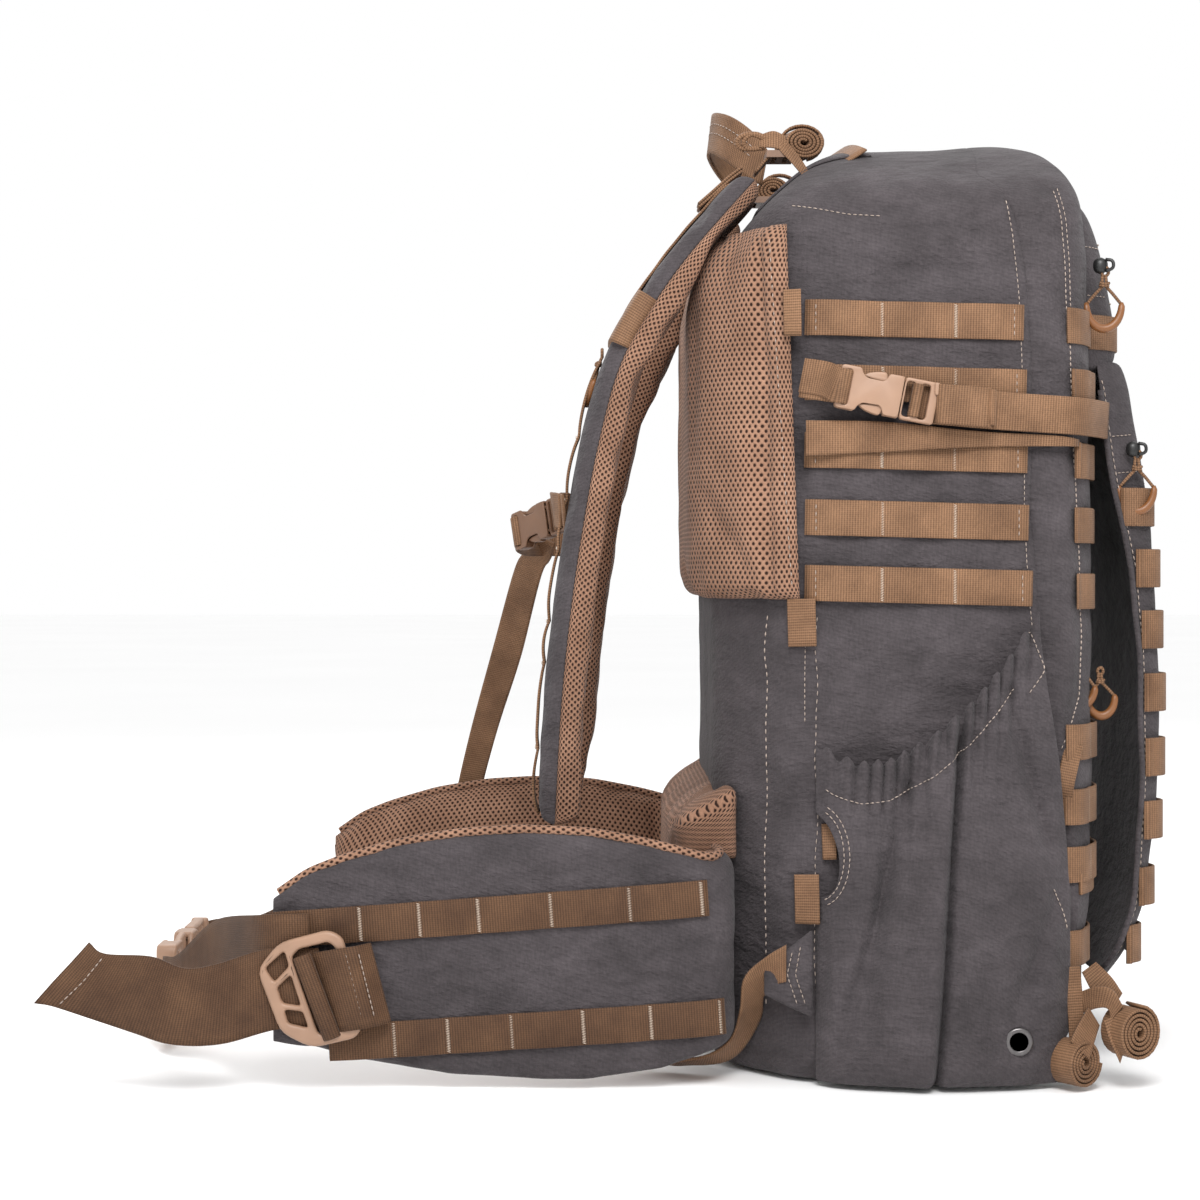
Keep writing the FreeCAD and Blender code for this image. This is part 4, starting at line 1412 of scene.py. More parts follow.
class Buckle:
    """A side-release buckle's own directions. Places are given in its widths along and up, and mm out."""

    def __init__(self, size, side=1):
        turn = Matrix.Rotation(math.radians(size["turn"]), 3, "Z")
        turn = turn @ Matrix.Rotation(math.radians(size["tilt"]), 3, "Y")
        mirror = Vector((1, side, 1))
        self.along = turn @ Vector((1, 0, 0)) * mirror
        self.up = turn @ UP * mirror
        self.out = turn @ Vector((0, -1, 0)) * mirror
        self.at = mm(*size["at"]) * mirror
        self.width, self.thick = size["width"], size["thick"]

    def point(self, along_it, up_it=0.0, out_of_it=0.0):
        """Place in the buckle's own terms."""
        flat = self.along * along_it + self.up * up_it
        return self.at + flat * self.width * MM + self.out * out_of_it * MM

    def plate(self, outline, holes, thick, level=0.0, bevel=0.7):
        """Plate in the buckle's plane, level mm out from its middle."""
        rings = [rounded([(a * self.width, b * self.width) for a, b in ring], 0.09 * self.width, 4)
                 for ring in [outline] + holes]
        return plate_mesh(rings[0], rings[1:], thick * MM, self.at + self.out * level * MM, self.along,
                          self.up, bevel * MM)


def mirrored(half):
    """Closed outline from its upper half, first point to last."""
    return half + [(a, -b) for a, b in reversed(half)]


def buckle(name, size, side, females, males, latches, material=None):
    """Side-release buckle: sleeve with two bites, ladder half and the two arms that show in the bites.

    females, males and latches give the body and the CAD node of each piece."""
    material = material or PLASTIC
    spot = Buckle(size, side)
    scale = size["width"] / 24
    skin, face = 1.5 * scale, spot.thick / 2
    body = mirrored([(-0.92, 0.5), (-0.46, 0.5), (-0.41, 0.38), (-0.3, 0.29), (0.08, 0.28), (0.15, 0.34),
                     (0.2, 0.48), (0.55, 0.48)])
    slot = [(-0.81, 0.41), (-0.64, 0.41), (-0.64, -0.41), (-0.81, -0.41)]
    core = [(-0.92, 0.5), (-0.5, 0.5), (-0.44, 0.3), (-0.44, -0.3), (-0.5, -0.5), (-0.92, -0.5)]
    rails = [[(0.2, b), (0.55, b), (0.55, b + 0.07), (0.2, b + 0.07)] for b in (0.41, -0.48)]
    walls = [spot.plate(body, [slot], skin, level, 0.6 * scale)
             for level in (face - skin / 2, skin / 2 - face)]
    walls.append(spot.plate(core, [slot], spot.thick - skin, 0, 0.3))
    walls += [spot.plate(rail, [], spot.thick - skin, 0, 0.3) for rail in rails]
    sleeve = moulded(name + "_sleeve", walls, material)
    ladder = mirrored([(0.575, 0.49), (1.38, 0.49)])
    openings = [[(a, 0.41), (b, 0.41), (b, -0.41), (a, -0.41)] for a, b in ((0.62, 0.83), (0.97, 1.18))]
    guide = [(-0.35, 0.07), (0.58, 0.12), (0.58, -0.12), (-0.35, -0.07)]
    lift = [(1.24, 0.49), (1.38, 0.49), (1.38, 0.2), (1.29, 0.2)]
    parts = [spot.plate(ladder, openings, spot.thick * 0.62, 0, 0.9 * scale),
             spot.plate(guide, [], spot.thick - 4 * skin, 0, 0.3),
             spot.plate(lift, [], spot.thick * 0.9, 0.4, 0.8 * scale)]
    frame_part = moulded(name + "_ladder", parts, material)
    for obj, (body_name, node) in ((sleeve, females), (frame_part, males)):
        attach(obj, body_name)
        if node:
            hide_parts(node)
    arm = [(-0.4, 0.33), (-0.28, 0.42), (-0.08, 0.48), (0.1, 0.5), (0.15, 0.46), (0.17, 0.38), (0.54, 0.36),
           (0.54, 0.27), (0.1, 0.27), (-0.2, 0.29)]
    for word, turn in (("upper", 1), ("lower", -1)):
        shape = spot.plate([(a, b * turn) for a, b in arm], [], spot.thick - 2.2 * skin, 0, 0.8 * scale)
        pad = moulded("%s_arm_%s" % (name, word), [shape], material)
        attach(pad, latches + word)
        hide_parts(latches + word)
    return spot


def buckles():
    """Every side-release buckle on the pack."""
    for side, word in SIDES:
        first = side > 0
        buckle(word + "_buckle", SIDE_BUCKLE, side, ("pack", first and "compression_buckle_females"),
               ("pack", first and "compression_buckle_males"), word + "_buckle_latch_")
    # The chest buckle takes the darker plastic copy, as painted shade.
    buckle("chest_buckle", CHEST_BUCKLE, 1, ("shoulder_harness", "sternum_buckle_female"),
           ("shoulder_harness", "sternum_buckle_male"), "sternum_latch_", SHADED_BROWN_PLASTIC)
    buckle("waist_buckle", BELT_BUCKLE, 1, ("belt_front", "belt_buckle_female"),
           ("belt_front", "belt_buckle_male"), "belt_latch_")


def compression():
    """Straps at both sides: rear piece to the sleeve, front piece from the ladder to the flap's corner."""
    spot = Buckle(SIDE_BUCKLE)
    fixed = Piece()
    rear = [spot.point(-0.66, 0, -1), spot.point(-0.68, 0, 4.2), spot.point(-0.82, 0, 5.6),
            spot.point(-0.98, 0, 5), mm(-34, -159.2, 391.5), mm(-46, -153.2, 394)]
    fixed.ribbon(curve(rear, 24), spot.up, WEB - 0.6 * MM)
    under = [spot.point(-0.7, 0, -2), spot.point(-0.95, 0, -2.4), mm(-35, -157.2, 389), mm(-46, -152.4, 391)]
    fixed.ribbon(curve(under, 14), spot.up, WEB - 1 * MM)
    bar = [spot.point(0.8, 0, -1), spot.point(0.82, 0, 2.8), spot.point(0.9, 0, 3.9),
           spot.point(0.99, 0, 2.8), spot.point(1.0, 0, -1), spot.point(1.1, 0, -3.2),
           spot.point(1.5, 0, -3)]
    fixed.ribbon(curve(bar, 24), spot.up, WEB - 1.4 * MM)
    loop_band(fixed, 26, 57, -166.5, -157, 377.6, 22, -0.08)
    rim = track((56.3, -166.3, 375.6), (59.2, -163.5, 375.4), (58.8, -160, 375.4))
    fixed.ribbon(curve(rim, 8), UP, 20 * MM)
    straps = fixed.paired().make("compression_webbing", WEBBING)
    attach(straps, "pack")
    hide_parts("compression_straps")
    tops = track((-44, -155.2, 369), (0, -156.5, 368), (50, -156, 363), (95, -154, 360.5), (108, -149, 358.5))
    lows = track((-44, -155.2, 349), (0, -156, 351), (50, -155, 354), (95, -153.5, 354.5), (108, -149, 354.5))
    path = track((27, -160.5, 376.8), (60, -159, 374), (84, -157.5, 372.5), (103, -154, 371.5),
                 (114, -146, 371), (123, -131, 371), (131, -116, 371))
    for side, label in SIDES:
        moving = Piece()
        moving.ribbon(flipped(curve(path, 40), side), Vector((0.06, 0, 1)), WEB + 1 * MM)
        strip(moving, flipped(tops, side), flipped(lows, side))
        obj = moving.make("front_strap_" + label, WEBBING)
        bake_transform(obj)
    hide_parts("flap_strap_ends")


# ---------------------------------------------------------------- belt

def wing_rows(tree):
    """Two rows of webbing on the outside of the near wing."""
    piece = Piece()
    upper = ((-339, 88), (-98.5, 105.5), [0.205, 0.34, 0.475, 0.64, 0.82, 0.985])
    lower = ((-307, 26), (-89, 40), [0.165, 0.30, 0.46, 0.64, 0.81, 0.985])
    for (ax, az), (bx, bz), breaks in (upper, lower):
        slope = (bz - az) / (bx - ax)
        sewn_row(piece, "belt_wing_left", tree, mm(ax, -190, az), mm(bx, -190, bz), WEB, breaks, (0, 1, 0),
                 Vector((-slope, 0, 1)).normalized(), 1.3 * MM)
    return piece


def plate_mesh(outline, holes, thick, place, across, up, bevel=1.2 * MM):
    """Mesh of a moulded plate: an outline with holes in the plane of across and up, with rounded edges."""
    data = bpy.data.curves.new("plate", "CURVE")
    data.dimensions = "2D"
    data.fill_mode = "BOTH"
    data.extrude = max(thick / 2 - bevel, 0.0)
    data.bevel_depth = bevel
    data.bevel_resolution = 2
    data.offset = -bevel
    for ring in [outline] + holes:
        spline = data.splines.new("POLY")
        spline.points.add(len(ring) - 1)
        for point, (a, b) in zip(spline.points, ring):
            point.co = (a * MM, b * MM, 0, 1)
        spline.use_cyclic_u = True
    holder = bpy.data.objects.new("plate_curve", data)
    bpy.context.collection.objects.link(holder)
    graph = bpy.context.evaluated_depsgraph_get()
    mesh = bpy.data.meshes.new_from_object(holder.evaluated_get(graph))
    bpy.data.objects.remove(holder)
    across, up = Vector(across).normalized(), Vector(up).normalized()
    out = across.cross(up).normalized()
    for vertex in mesh.vertices:
        vertex.co = Vector(place) + across * vertex.co.x + up * vertex.co.y + out * vertex.co.z
    return mesh


def moulded(name, meshes, material):
    """One object made of several plates, with crisp edges where they turn sharply."""
    whole = bmesh.new()
    for mesh in meshes:
        whole.from_mesh(mesh)
        bpy.data.meshes.remove(mesh)
    bmesh.ops.remove_doubles(whole, verts=whole.verts, dist=0.01 * MM)
    bmesh.ops.recalc_face_normals(whole, faces=whole.faces)
    mesh = bpy.data.meshes.new(name)
    whole.to_mesh(mesh)
    whole.free()
    mesh.materials.append(material)
    mesh.polygons.foreach_set("material_index", [0] * len(mesh.polygons))
    mesh.polygons.foreach_set("use_smooth", [True] * len(mesh.polygons))
    mesh.set_sharp_from_angle(angle=math.radians(32))
    obj = bpy.data.objects.new(name, mesh)
    bpy.context.collection.objects.link(obj)
    return obj


def rounded(ring, radius, steps=3):
    """Outline with its corners rounded off."""
    out = []
    count = len(ring)
    for i, corner in enumerate(ring):
        before, after = Vector(ring[i - 1]), Vector(ring[(i + 1) % count])
        corner = Vector(corner)
        r = min(radius, (before - corner).length * 0.45, (after - corner).length * 0.45)
        a = corner + (before - corner).normalized() * r
        b = corner + (after - corner).normalized() * r
        for k in range(steps + 1):
            t = k / steps
            out.append(tuple(a * (1 - t) ** 2 + corner * 2 * t * (1 - t) + b * t ** 2))
    return out


def belt_ladders():
    """Triangular strap frame at each wing, with the webbing rolled over its bar and sewn to the wing."""
    outline = [(-345, 68), (-333, 83), (-306, 90), (-298, 86), (-287, 38), (-291, 31), (-315, 25.5),
               (-332, 34)]
    outline = rounded(outline, 6)
    main = rounded([(-326, 75), (-322, 79.5), (-306, 83.5), (-302, 80), (-293.5, 40), (-297, 36), (-311, 33),
                    (-313, 37)], 2)
    windows = [[(-340.5, 69), (-330, 78.5), (-327.5, 70), (-335.5, 61.5)],
               [(-334, 58.5), (-326.5, 65.5), (-321, 48.5), (-331, 50)],
               [(-330, 46.5), (-320, 45.5), (-317, 36.5), (-328, 39)]]
    windows = [rounded(w, 2) for w in windows]
    for side, label in SIDES:
        ladder = plate_mesh(outline, [main] + windows, 5 * MM, mm(0, -175.3 * side, 0), (1, 0, 0),
                            (0, 0, 1), 1.9 * MM)
        frame_part = moulded("ladder_frame_" + label, [ladder], PLASTIC)
        body = "belt_wing_" + label
        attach(frame_part, body)
        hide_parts("belt_ladder_" + label)
        soft = Piece()
        roll_top, roll_low = mm(-320.5, -176, 76), mm(-303.5, -176, 31)
        axis = (roll_low - roll_top).normalized()
        ahead = Vector((-axis.z, 0, axis.x))
        for ring in range(2):
            radius = (3.1 + 1.6 * ring) * MM
            pts = []
            for k in range(13):
                a = math.radians(20 + 320 * k / 12)
                centre = (roll_top + roll_low) / 2
                pts.append(centre + ahead * math.cos(a) * radius + Vector((0, -1,
                                                                           0)) * math.sin(a) * radius * 0.9)
            soft.ribbon(flipped(pts, side), axis, (roll_low - roll_top).length, 1.5 * MM)
        tops = track((-317, -172.6, 77), (-306, -178, 79.5), (-298, -179.6, 81), (-291, -178.8, 82),
                     (-284, -170.5, 82.5))
        lows = track((-303, -172.6, 33), (-297, -178, 34.5), (-288, -179.6, 36), (-281, -178.8, 37),
                     (-272.5, -170.5, 38))
        strip(soft, flipped(tops, side), flipped(lows, side))
        patch = soft.make("ladder_webbing_" + label, DARKER_SHADED_BELT_WEBBING)
        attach(patch, body)


def belt_soft():
    """Belt webbing from each ladder to the middle buckle, and the free tail past the near ladder."""
    low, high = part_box("belt_buckle_female")
    z = (low.z + high.z) / 2 / MM
    near = Piece()
    strip(near,
          track((-318, -171, 98.5), (-345, -165, 97), (-378, -110, 86), (-404, -80, z + 30),
                (-416, -62, z + 26)),
          track((-316, -171, 49), (-342, -165, 47), (-376, -112, 37), (-404, -80, z - 19),
                (-416, -62, z - 24)), count=40)
    near_obj = near.make("belt_strap_left", DARKER_SHADED_BELT_WEBBING)
    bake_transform(near_obj)
    far = Piece()
    strip(far,
          track((-320, 171, 76), (-345, 165, 74), (-382, 112, 58), (-408, 92, z + 26), (-417, 78, z + 25)),
          track((-320, 171, 27), (-345, 165, 25), (-380, 114, 9), (-408, 92, z - 24), (-417, 78, z - 25)),
          count=40)
    far_obj = far.make("belt_strap_right", DARKER_SHADED_BELT_WEBBING)
    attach(far_obj, "belt_front")
    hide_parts("belt_webbing")
    tail = Piece()
    tops = [(-312, -172.3, 80), (-325, -172.2, 79), (-342, -172.5, 79), (-368, -176, 71.5), (-384, -179, 70),
            (-401, -184, 77), (-427, -180, 78), (-436, -176, 83.5)]
    lows = [(-300, -172.3, 33), (-314, -172.2, 34), (-334.5, -172.5, 34.5), (-364, -177, 27.5),
            (-390, -181, 28), (-412, -179, 34), (-451, -185, 48.5), (-464, -187, 51.5)]
    strip(tail, track(*tops), track(*lows), count=60, ripple=1.2 * MM)
    tail_obj = tail.make("belt_tail_strap", DARKER_SHADED_BELT_WEBBING)
    body = "belt_wing_left"
    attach(tail_obj, body)
    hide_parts("belt_tail")
    sewn = SEWN[body]
    out = Vector((0, -1, 0))
    for shift in (-5.5, -12.5):
        sewn.seam([mm(-284 + shift, -179.6, 79), mm(-274.5 + shift, -179.6, 41)], out, 3.2 * MM, 2.6 * MM,
                  0.6 * MM)
    fold = Piece()
    fold.seam(track((-426.5, -184.8, 77), (-438, -184.5, 63), (-452, -187.5, 49.5)), out, 3.4 * MM,
              2.6 * MM, 0.2 * MM)
    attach(fold.make("belt_tail_stitches", THREAD), body)


# ---------------------------------------------------------------- shoulder harness

def strap_line(outward, count=120):
    """Line on the shoulder strap's outer side (outward > 0) or pack side, in side view."""
    line = curve([mm(x, 0, z) for x, z in STRAP], count)
    out = []
    for i, p in enumerate(line):
        ahead = line[min(i + 1, count - 1)] - line[max(i - 1, 0)]
        normal = Vector((ahead.z, 0, -ahead.x)).normalized()
        out.append(p + normal * outward)
    return out


def strap_band():
    """Wide webbing wrapped round the canvas side of the near shoulder strap."""
    lines = zip(strap_line(12.4 * MM, 240), strap_line(-2.5 * MM, 240))
    front, back = zip(*[pair for pair in lines if 417 * MM < pair[0].z < 446 * MM])
    rows, flat, run = [], [], 0.0
    for i, (a, b) in enumerate(zip(front, back)):
        ring = []
        for k in range(28):
            angle = 2 * math.pi * k / 28
            wide = math.copysign(abs(math.cos(angle)) ** 0.35, math.cos(angle))
            deep = math.copysign(abs(math.sin(angle)) ** 0.6, math.sin(angle))
            ring.append(a.lerp(b, 0.5 - 0.5 * deep) + Vector((0, STRAP_Y * MM + wide * 33.5 * MM, 0)))
        if i:
            run += (a - front[i - 1]).length
        rows.append(ring)
        flat.append([(k * 2.4 * MM, run) for k in range(28)])
    piece = Piece()
    piece.grid(rows, flat, closed=True, caps=True)
    return piece


def harness_webbing(strap_tree):
    """Webbing with slack loops on each shoulder strap's outer face, the lifter strap and the wrap band."""
    piece = Piece()
    middle = Vector((0, STRAP_Y * MM, 0))
    whole = [drop(strap_tree, p + middle, q - p, 1.2 * MM)[0]
             for p, q in zip(strap_line(20 * MM, 200), strap_line(0, 200))]
    lower = whole[66:197]
    marks = [0.17, 0.31, 0.42, 0.58, 0.67, 0.86]
    raised = puffed(lower, marks, Vector((-1, 0, 0)), 2.0 * MM)
    piece.ribbon(raised, ACROSS, WEB)
    piece.ribbon(whole[2:56], ACROSS, WEB)
    for layer in (0, 2.2):
        end = track((-76, STRAP_Y, 516.5 + layer), (-84, STRAP_Y, 510.5 + layer),
                    (-93, STRAP_Y, 502.5 + layer), (-101, STRAP_Y, 495.5 + layer))
        piece.ribbon(curve(end, 16), ACROSS, WEB)
    for made, name in ((piece.paired(), "harness_straps"), (strap_band().paired(), "harness_bands")):
        made.verts = [harness_point(Vector((v.x, -v.y, v.z)), -1) if v.y > 0 else v for v in made.verts]
        obj = made.make(name, WEBBING)
        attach(obj, "shoulder_harness")
        if name == "harness_straps":
            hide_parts("strap_webbing", "load_lifter_straps")
    out = Vector((-1, 0, -0.2)).normalized()
    for mark in marks:
        at = lower[int(mark * (len(lower) - 1))] + out * 1.2 * MM
        half = Vector((0, WEB * 0.46, 0))
        TACKS["shoulder_harness"].bartack(at - half, at + half, out)


def zip_grip(name, at, body, nodes=(), lean=0.0, size=1.0, edge_on=False):
    """Moulded U grip on two runs of cord with a knot, hanging from its slider, seen flat or edge on."""
    x, y, z = at
    cord, grip = Piece(), Piece()
    turn = math.radians(lean)

    def put(dx, dy, dz):
        if edge_on:
            dx, dy = dy, dx
        return mm(x + (dx * math.cos(turn) + dz * math.sin(turn)) * size, y + dy * size,
                  z + (dz * math.cos(turn) - dx * math.sin(turn)) * size)
    for side in (-1, 1):
        run = curve([put(side * 0.8, 0, 1.5), put(side * 1.2, -0.4, -2.5), put(side * 1.0, -0.4, -5),
                     put(side * 5, 0, -9.5), put(side * 9.6, 0.4, -15)], 16)
        cord.tube(run, 0.95 * MM, 7)
    loop = curve([put(-0.9, 0, 1), put(-1.6, -1, 4), put(1.2, -1.6, 5.4), put(2.4, -0.6, 2.5),
                  put(1, 0, 0.5)], 14)
    cord.tube(loop, 0.95 * MM, 7)
    knot = curve([put(-2.6, -1.2, -3.2), put(0, -2.2, -4.2), put(2.7, -1.0, -3.4), (put(0.4, 1.2, -4.4)),
                  put(-2.2, 0.2, -4.6), put(-1.4, -2, -5), put(2.4, -1.4, -5.2)], 24)
    cord.tube(knot, 0.9 * MM, 7)
    ring, last = [], 20
    for k in range(last + 1):
        a = math.pi * (k / last) * 1.06 - 0.09
        ring.append(put(-10 * math.cos(a), 0.3, -15.5 - 13.5 * math.sin(a)))
    rows, flat = [], []
    for i, p in enumerate(ring):
        ahead = (ring[min(i + 1, last)] - ring[max(i - 1, 0)]).normalized()
        flat_way = Vector((math.cos(turn), 0, -math.sin(turn))) if edge_on else ACROSS
        side = ahead.cross(flat_way).normalized()
        radius = (1.8 + 0.75 * math.sin(math.pi * i / last)) * MM * (0.55 if i in (0, last) else 1)
        rows.append([p + side * math.cos(b) * radius + flat_way * math.sin(b) * radius * 0.95
                     for b in circle(12)])
        flat.append([(0, 0)] * 12)
    grip.grid(rows, flat, closed=True, caps=True)
    cord_obj = cord.make(name + "_loop", WEBBING)
    grip_obj = grip.make(name + "_grip", RUBBER)
    for obj in (cord_obj, grip_obj):
        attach(obj, body)
    if nodes:
        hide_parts(*nodes)


def slider_piece(name, node, body):
    """Black zip slider with a rounded body and a pull bridge."""
    low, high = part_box(node)
    mid = (low + high) / 2
    piece = Piece()
    rows, flat = [], []
    for k in range(9):
        t = -1 + 2 * k / 8
        shrink = math.sqrt(max(1 - abs(t) ** 3, 0.04))
        rows.append([mid + mm(4.2 * math.cos(a) * shrink, 3.4 * math.sin(a) * shrink, 4.6 * t)
                     for a in circle(14)])
        flat.append([(0, 0)] * 14)
    piece.grid(rows, flat, closed=True, caps=True)
    piece.tube(curve([mid + mm(2.5, -2, 3.4), mid + mm(6, -3.4, 2.4), mid + mm(6.2, -3.6, -1.5),
                      mid + mm(2.5, -2.2, -3.2)], 12), 1.0 * MM, 7)
    obj = piece.make(name, BLACK)
    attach(obj, body)
    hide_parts(node)


def sternum():
    """Slack chest strap from both shoulder straps to its buckle, and the long hanging tail."""
    spot = Buckle(CHEST_BUCKLE)
    piece = Piece()
    near = [spot.point(0.8, 0, -1), spot.point(0.82, 0, 2.4), spot.point(0.9, 0, 3.5),
            spot.point(0.99, 0, 2.4), spot.point(1.02, 0, -1), spot.point(1.2, 0, -2.6),
            spot.point(1.48, 0, -2.2), mm(-181.5, -66, 322), mm(-183.5, -80, 322), mm(-181, -93, 321),
            mm(-178.5, -104, 320)]
    piece.ribbon(curve(near, 44), spot.up, WEB - 1 * MM)
    fold = track((-181.5, -60, 322), (-185, -72, 322), (-184.5, -88, 321), (-180.5, -99, 320))
    piece.ribbon(curve(fold, 16), spot.up, WEB)
    far = [spot.point(-0.66, 0, -1), spot.point(-0.68, 0, 3.6), spot.point(-0.8, 0, 4.9),
           spot.point(-0.96, 0, 3), spot.point(-1.1, 0, 0), mm(-210.5, 14, 306), mm(-206.5, 55, 304),
           mm(-197, 88, 304), mm(-180, 96, 304)]
    piece.ribbon(curve(far, 50), spot.up, WEB - 1.6 * MM)
    strip(piece,
          track((-200, 80, 309), (-206, 90, 299), (-214, 106, 288), (-230, 140, 235), (-246, 172, 180),
                (-257, 183, 135), (-262, 184, 106)),
          track((-187, 74, 303), (-190, 88, 293), (-197, 100, 281), (-211, 138, 228), (-229, 170, 174),
                (-241, 181, 128), (-243, 184, 104)), count=60, ripple=0.5 * MM)
    obj = piece.make("chest_webbing", WEBBING)
    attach(obj, "shoulder_harness")
    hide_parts("sternum_strap")


def roll(piece, centre, radius, turns, width, start=0.0, squash=1.0, turn=0.0):
    """Webbing rolled up round a level axis, which turn (in degrees) swings from straight ahead."""
    count = int(turns * 22)
    turn = math.radians(turn)
    axis, across = Vector((math.sin(turn), -math.cos(turn), 0)), Vector((math.cos(turn), math.sin(turn), 0))
    core = 2.0
    pts = []
    for k in range(count + 1):
        a = start + 2 * math.pi * turns * k / count
        r = (core + (radius - core) * k / count) * MM
        pts.append(Vector(centre) + across * math.cos(a) * r + Vector((0, 0, math.sin(a) * r * squash)))
    piece.ribbon(pts, axis, width, 0.72 * (radius - core) / turns * MM)


def bottom_straps():
    """Straps under the flap's foot, knotted through their tabs, with two rolled tails."""
    piece = Piece()
    roll(piece, mm(103, -160, 15.5), 13, 4.6, 19 * MM, 2.4, 1, 38)
    roll(piece, mm(134, -160, 32), 13.5, 5.0, 19 * MM, 1.2, 1.1, 26)
    piece.ribbon(curve(track((104, -151.8, 66), (105, -153, 50), (106, -154, 34), (106, -155, 22)), 14),
                 Vector((1, 0, 0)), 9 * MM)
    strip(piece, track((108, -152, 52), (116, -158, 56), (124, -162, 55), (130, -163, 46)),
          track((110, -152, 40), (117, -158, 44), (122, -161, 44), (123, -163, 38)))
    strip(piece, track((118, -148, 68), (126, -152, 60), (131, -156, 52)),
          track((110, -148, 62), (116, -153, 50), (124, -158, 42)))
    strip(piece, track((112, -156, 44), (104, -163, 34), (100, -168, 28)),
          track((118, -156, 34), (113, -164, 24), (110, -169, 18)))
    strip(piece, track((124, -163, 40), (127, -165, 30), (129, -166, 20)),
          track((119, -163, 38), (122, -165, 28), (127.5, -166, 15)))
    obj = piece.paired().make("bottom_webbing", WEBBING)
    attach(obj, "pack")
    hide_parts("bottom_straps", "bottom_strap_rolls")


def lower_back():
    """Gusset with double stitching, and the webbing that curls from it to the shoulder strap's foot."""
    gusset = Piece()
    rows, flat = [], []
    for i in range(9):
        t = i / 8
        row = []
        for k in range(9):
            s = k / 8
            x = -40 - 27 * t
            top = 88 + (66 - 88) * t
            low = 38 + (50 - 38) * t
            row.append(mm(x, -153.5 - 2.5 * math.sin(math.pi * min(t + 0.2, 1)) + 3 * t * t, low
                          + (top - low) * s))
        rows.append(row)
        flat.append([(p.x, p.z) for p in row])
    gusset.grid(rows, flat)
    obj = gusset.paired().make("gussets", CANVAS)
    thicken(obj, 2.2 * MM)
    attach(obj, "pack")
    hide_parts("lower_gussets")
    tree = surface(obj)
    for dx in (0, 4.5):
        draw_seam("pack", tree,
                  track((-47 - dx, -190, 79 - dx * 0.7), (-50 - dx, -190, 62), (-44.5 - dx, -190, 46)),
                  (0, 1, 0), 3 * MM, 2.2 * MM)
    for side, label in SIDES:
        web = Piece()
        tops = track((-55, -156, 79), (-66, -155, 72), (-78, -150, 59), (-80, -146, 40), (-86, -140, 22),
                     (-104, -136, 12), (-130, -128, 14), (-160, -112, 52), (-178, -98, 92))
        lows = track((-55, -156, 58), (-60, -152, 56), (-66, -138, 48), (-68, -130, 32), (-82, -122, 10),
                     (-104, -118, 5), (-128, -108, 8), (-158, -92, 48), (-176, -78, 92))
        strip(web, flipped(tops, side), flipped(lows, side), count=60)
        web_obj = web.make("lower_webbing_" + label, WEBBING)
        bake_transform(web_obj)
        if side > 0:
            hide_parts("lower_strap_webbing")


# ---------------------------------------------------------------- top

def top_gear(bag_tree):
    """Yoke, lifter straps with their rolled tails, and the loops that hold the grab handle."""
    web, cloth = Piece(), Piece()
    rows, flat = [], []
    path = curve(track((-66, 0, 488), (-58, 0, 503), (-45, 0, 519), (-30, 0, 532), (-14, 0, 541.5)), 22)
    inward = (0.6, 0, -0.8)
    for p in path:
        row = [drop(bag_tree, p + Vector((0, y * MM, 0)), inward, 0.9 * MM)[0] for y in range(-104, 105, 8)]
        rows.append(row)
        flat.append([(q.y, q.z) for q in row])
    cloth.grid(rows, flat)
    yoke = cloth.make("yoke_shell", CANVAS)
    thicken(yoke, 2 * MM)
    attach(yoke, "pack")
    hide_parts("strap_yoke")
    edge = [drop(bag_tree, mm(-26, y, 544), inward, 2.6 * MM)[0] for y in range(-108, 1, 6)]
    web.ribbon(settle(edge, 3), Vector((0.84, 0, 0.54)), 13 * MM)
    y = STRAP_Y
    lifter = curve(track((-68, y, 516), (-61, y, 524), (-54, y, 528), (-47, y, 528)), 14)
    web.ribbon(lifter, ACROSS, WEB)
    roll(web, mm(-43, y, 533), 11.5, 4.0, WEB + 1 * MM, 0.6, 0.76, 16)
    belt = [mm(-41 + 12.4 * math.cos(a), y, 534 + 9.8 * math.sin(a))
            for a in [math.radians(-75 + 330 * k / 20) for k in range(21)]]
    web.ribbon(belt, ACROSS, 8 * MM)
    for lift in (0, 3.4):
        strip(web,
              track((-55 + lift, y - 12, 535), (-46 + lift, y - 14, 523), (-37 + lift * 0.4, y - 16, 511)),
              track((-58 + lift, y - 11, 532), (-48 + lift, y - 14, 520.5),
                    (-38 + lift * 0.4, y - 16, 508)))
    strip(web, track((-66, y - 9, 537), (-58, y - 12, 539), (-51, y - 12, 536)),
          track((-66, y - 9, 530), (-58, y - 12, 529), (-51, y - 12, 527)))
    for k in (0, 1):
        hook = track((-60 + k, y - 9, 534), (-72 + k * 3, y - 11, 537.5), (-79 + k * 4, y - 10, 534),
                     (-76 + k * 3, y - 8, 529.5), (-64 + k, y - 8, 530))
        web.tube(curve(hook, 16), 1.5 * MM, 7)
    straps = web.paired().make("top_webbing", WEBBING)
    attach(straps, "pack")
    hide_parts("load_lifter_rolls")


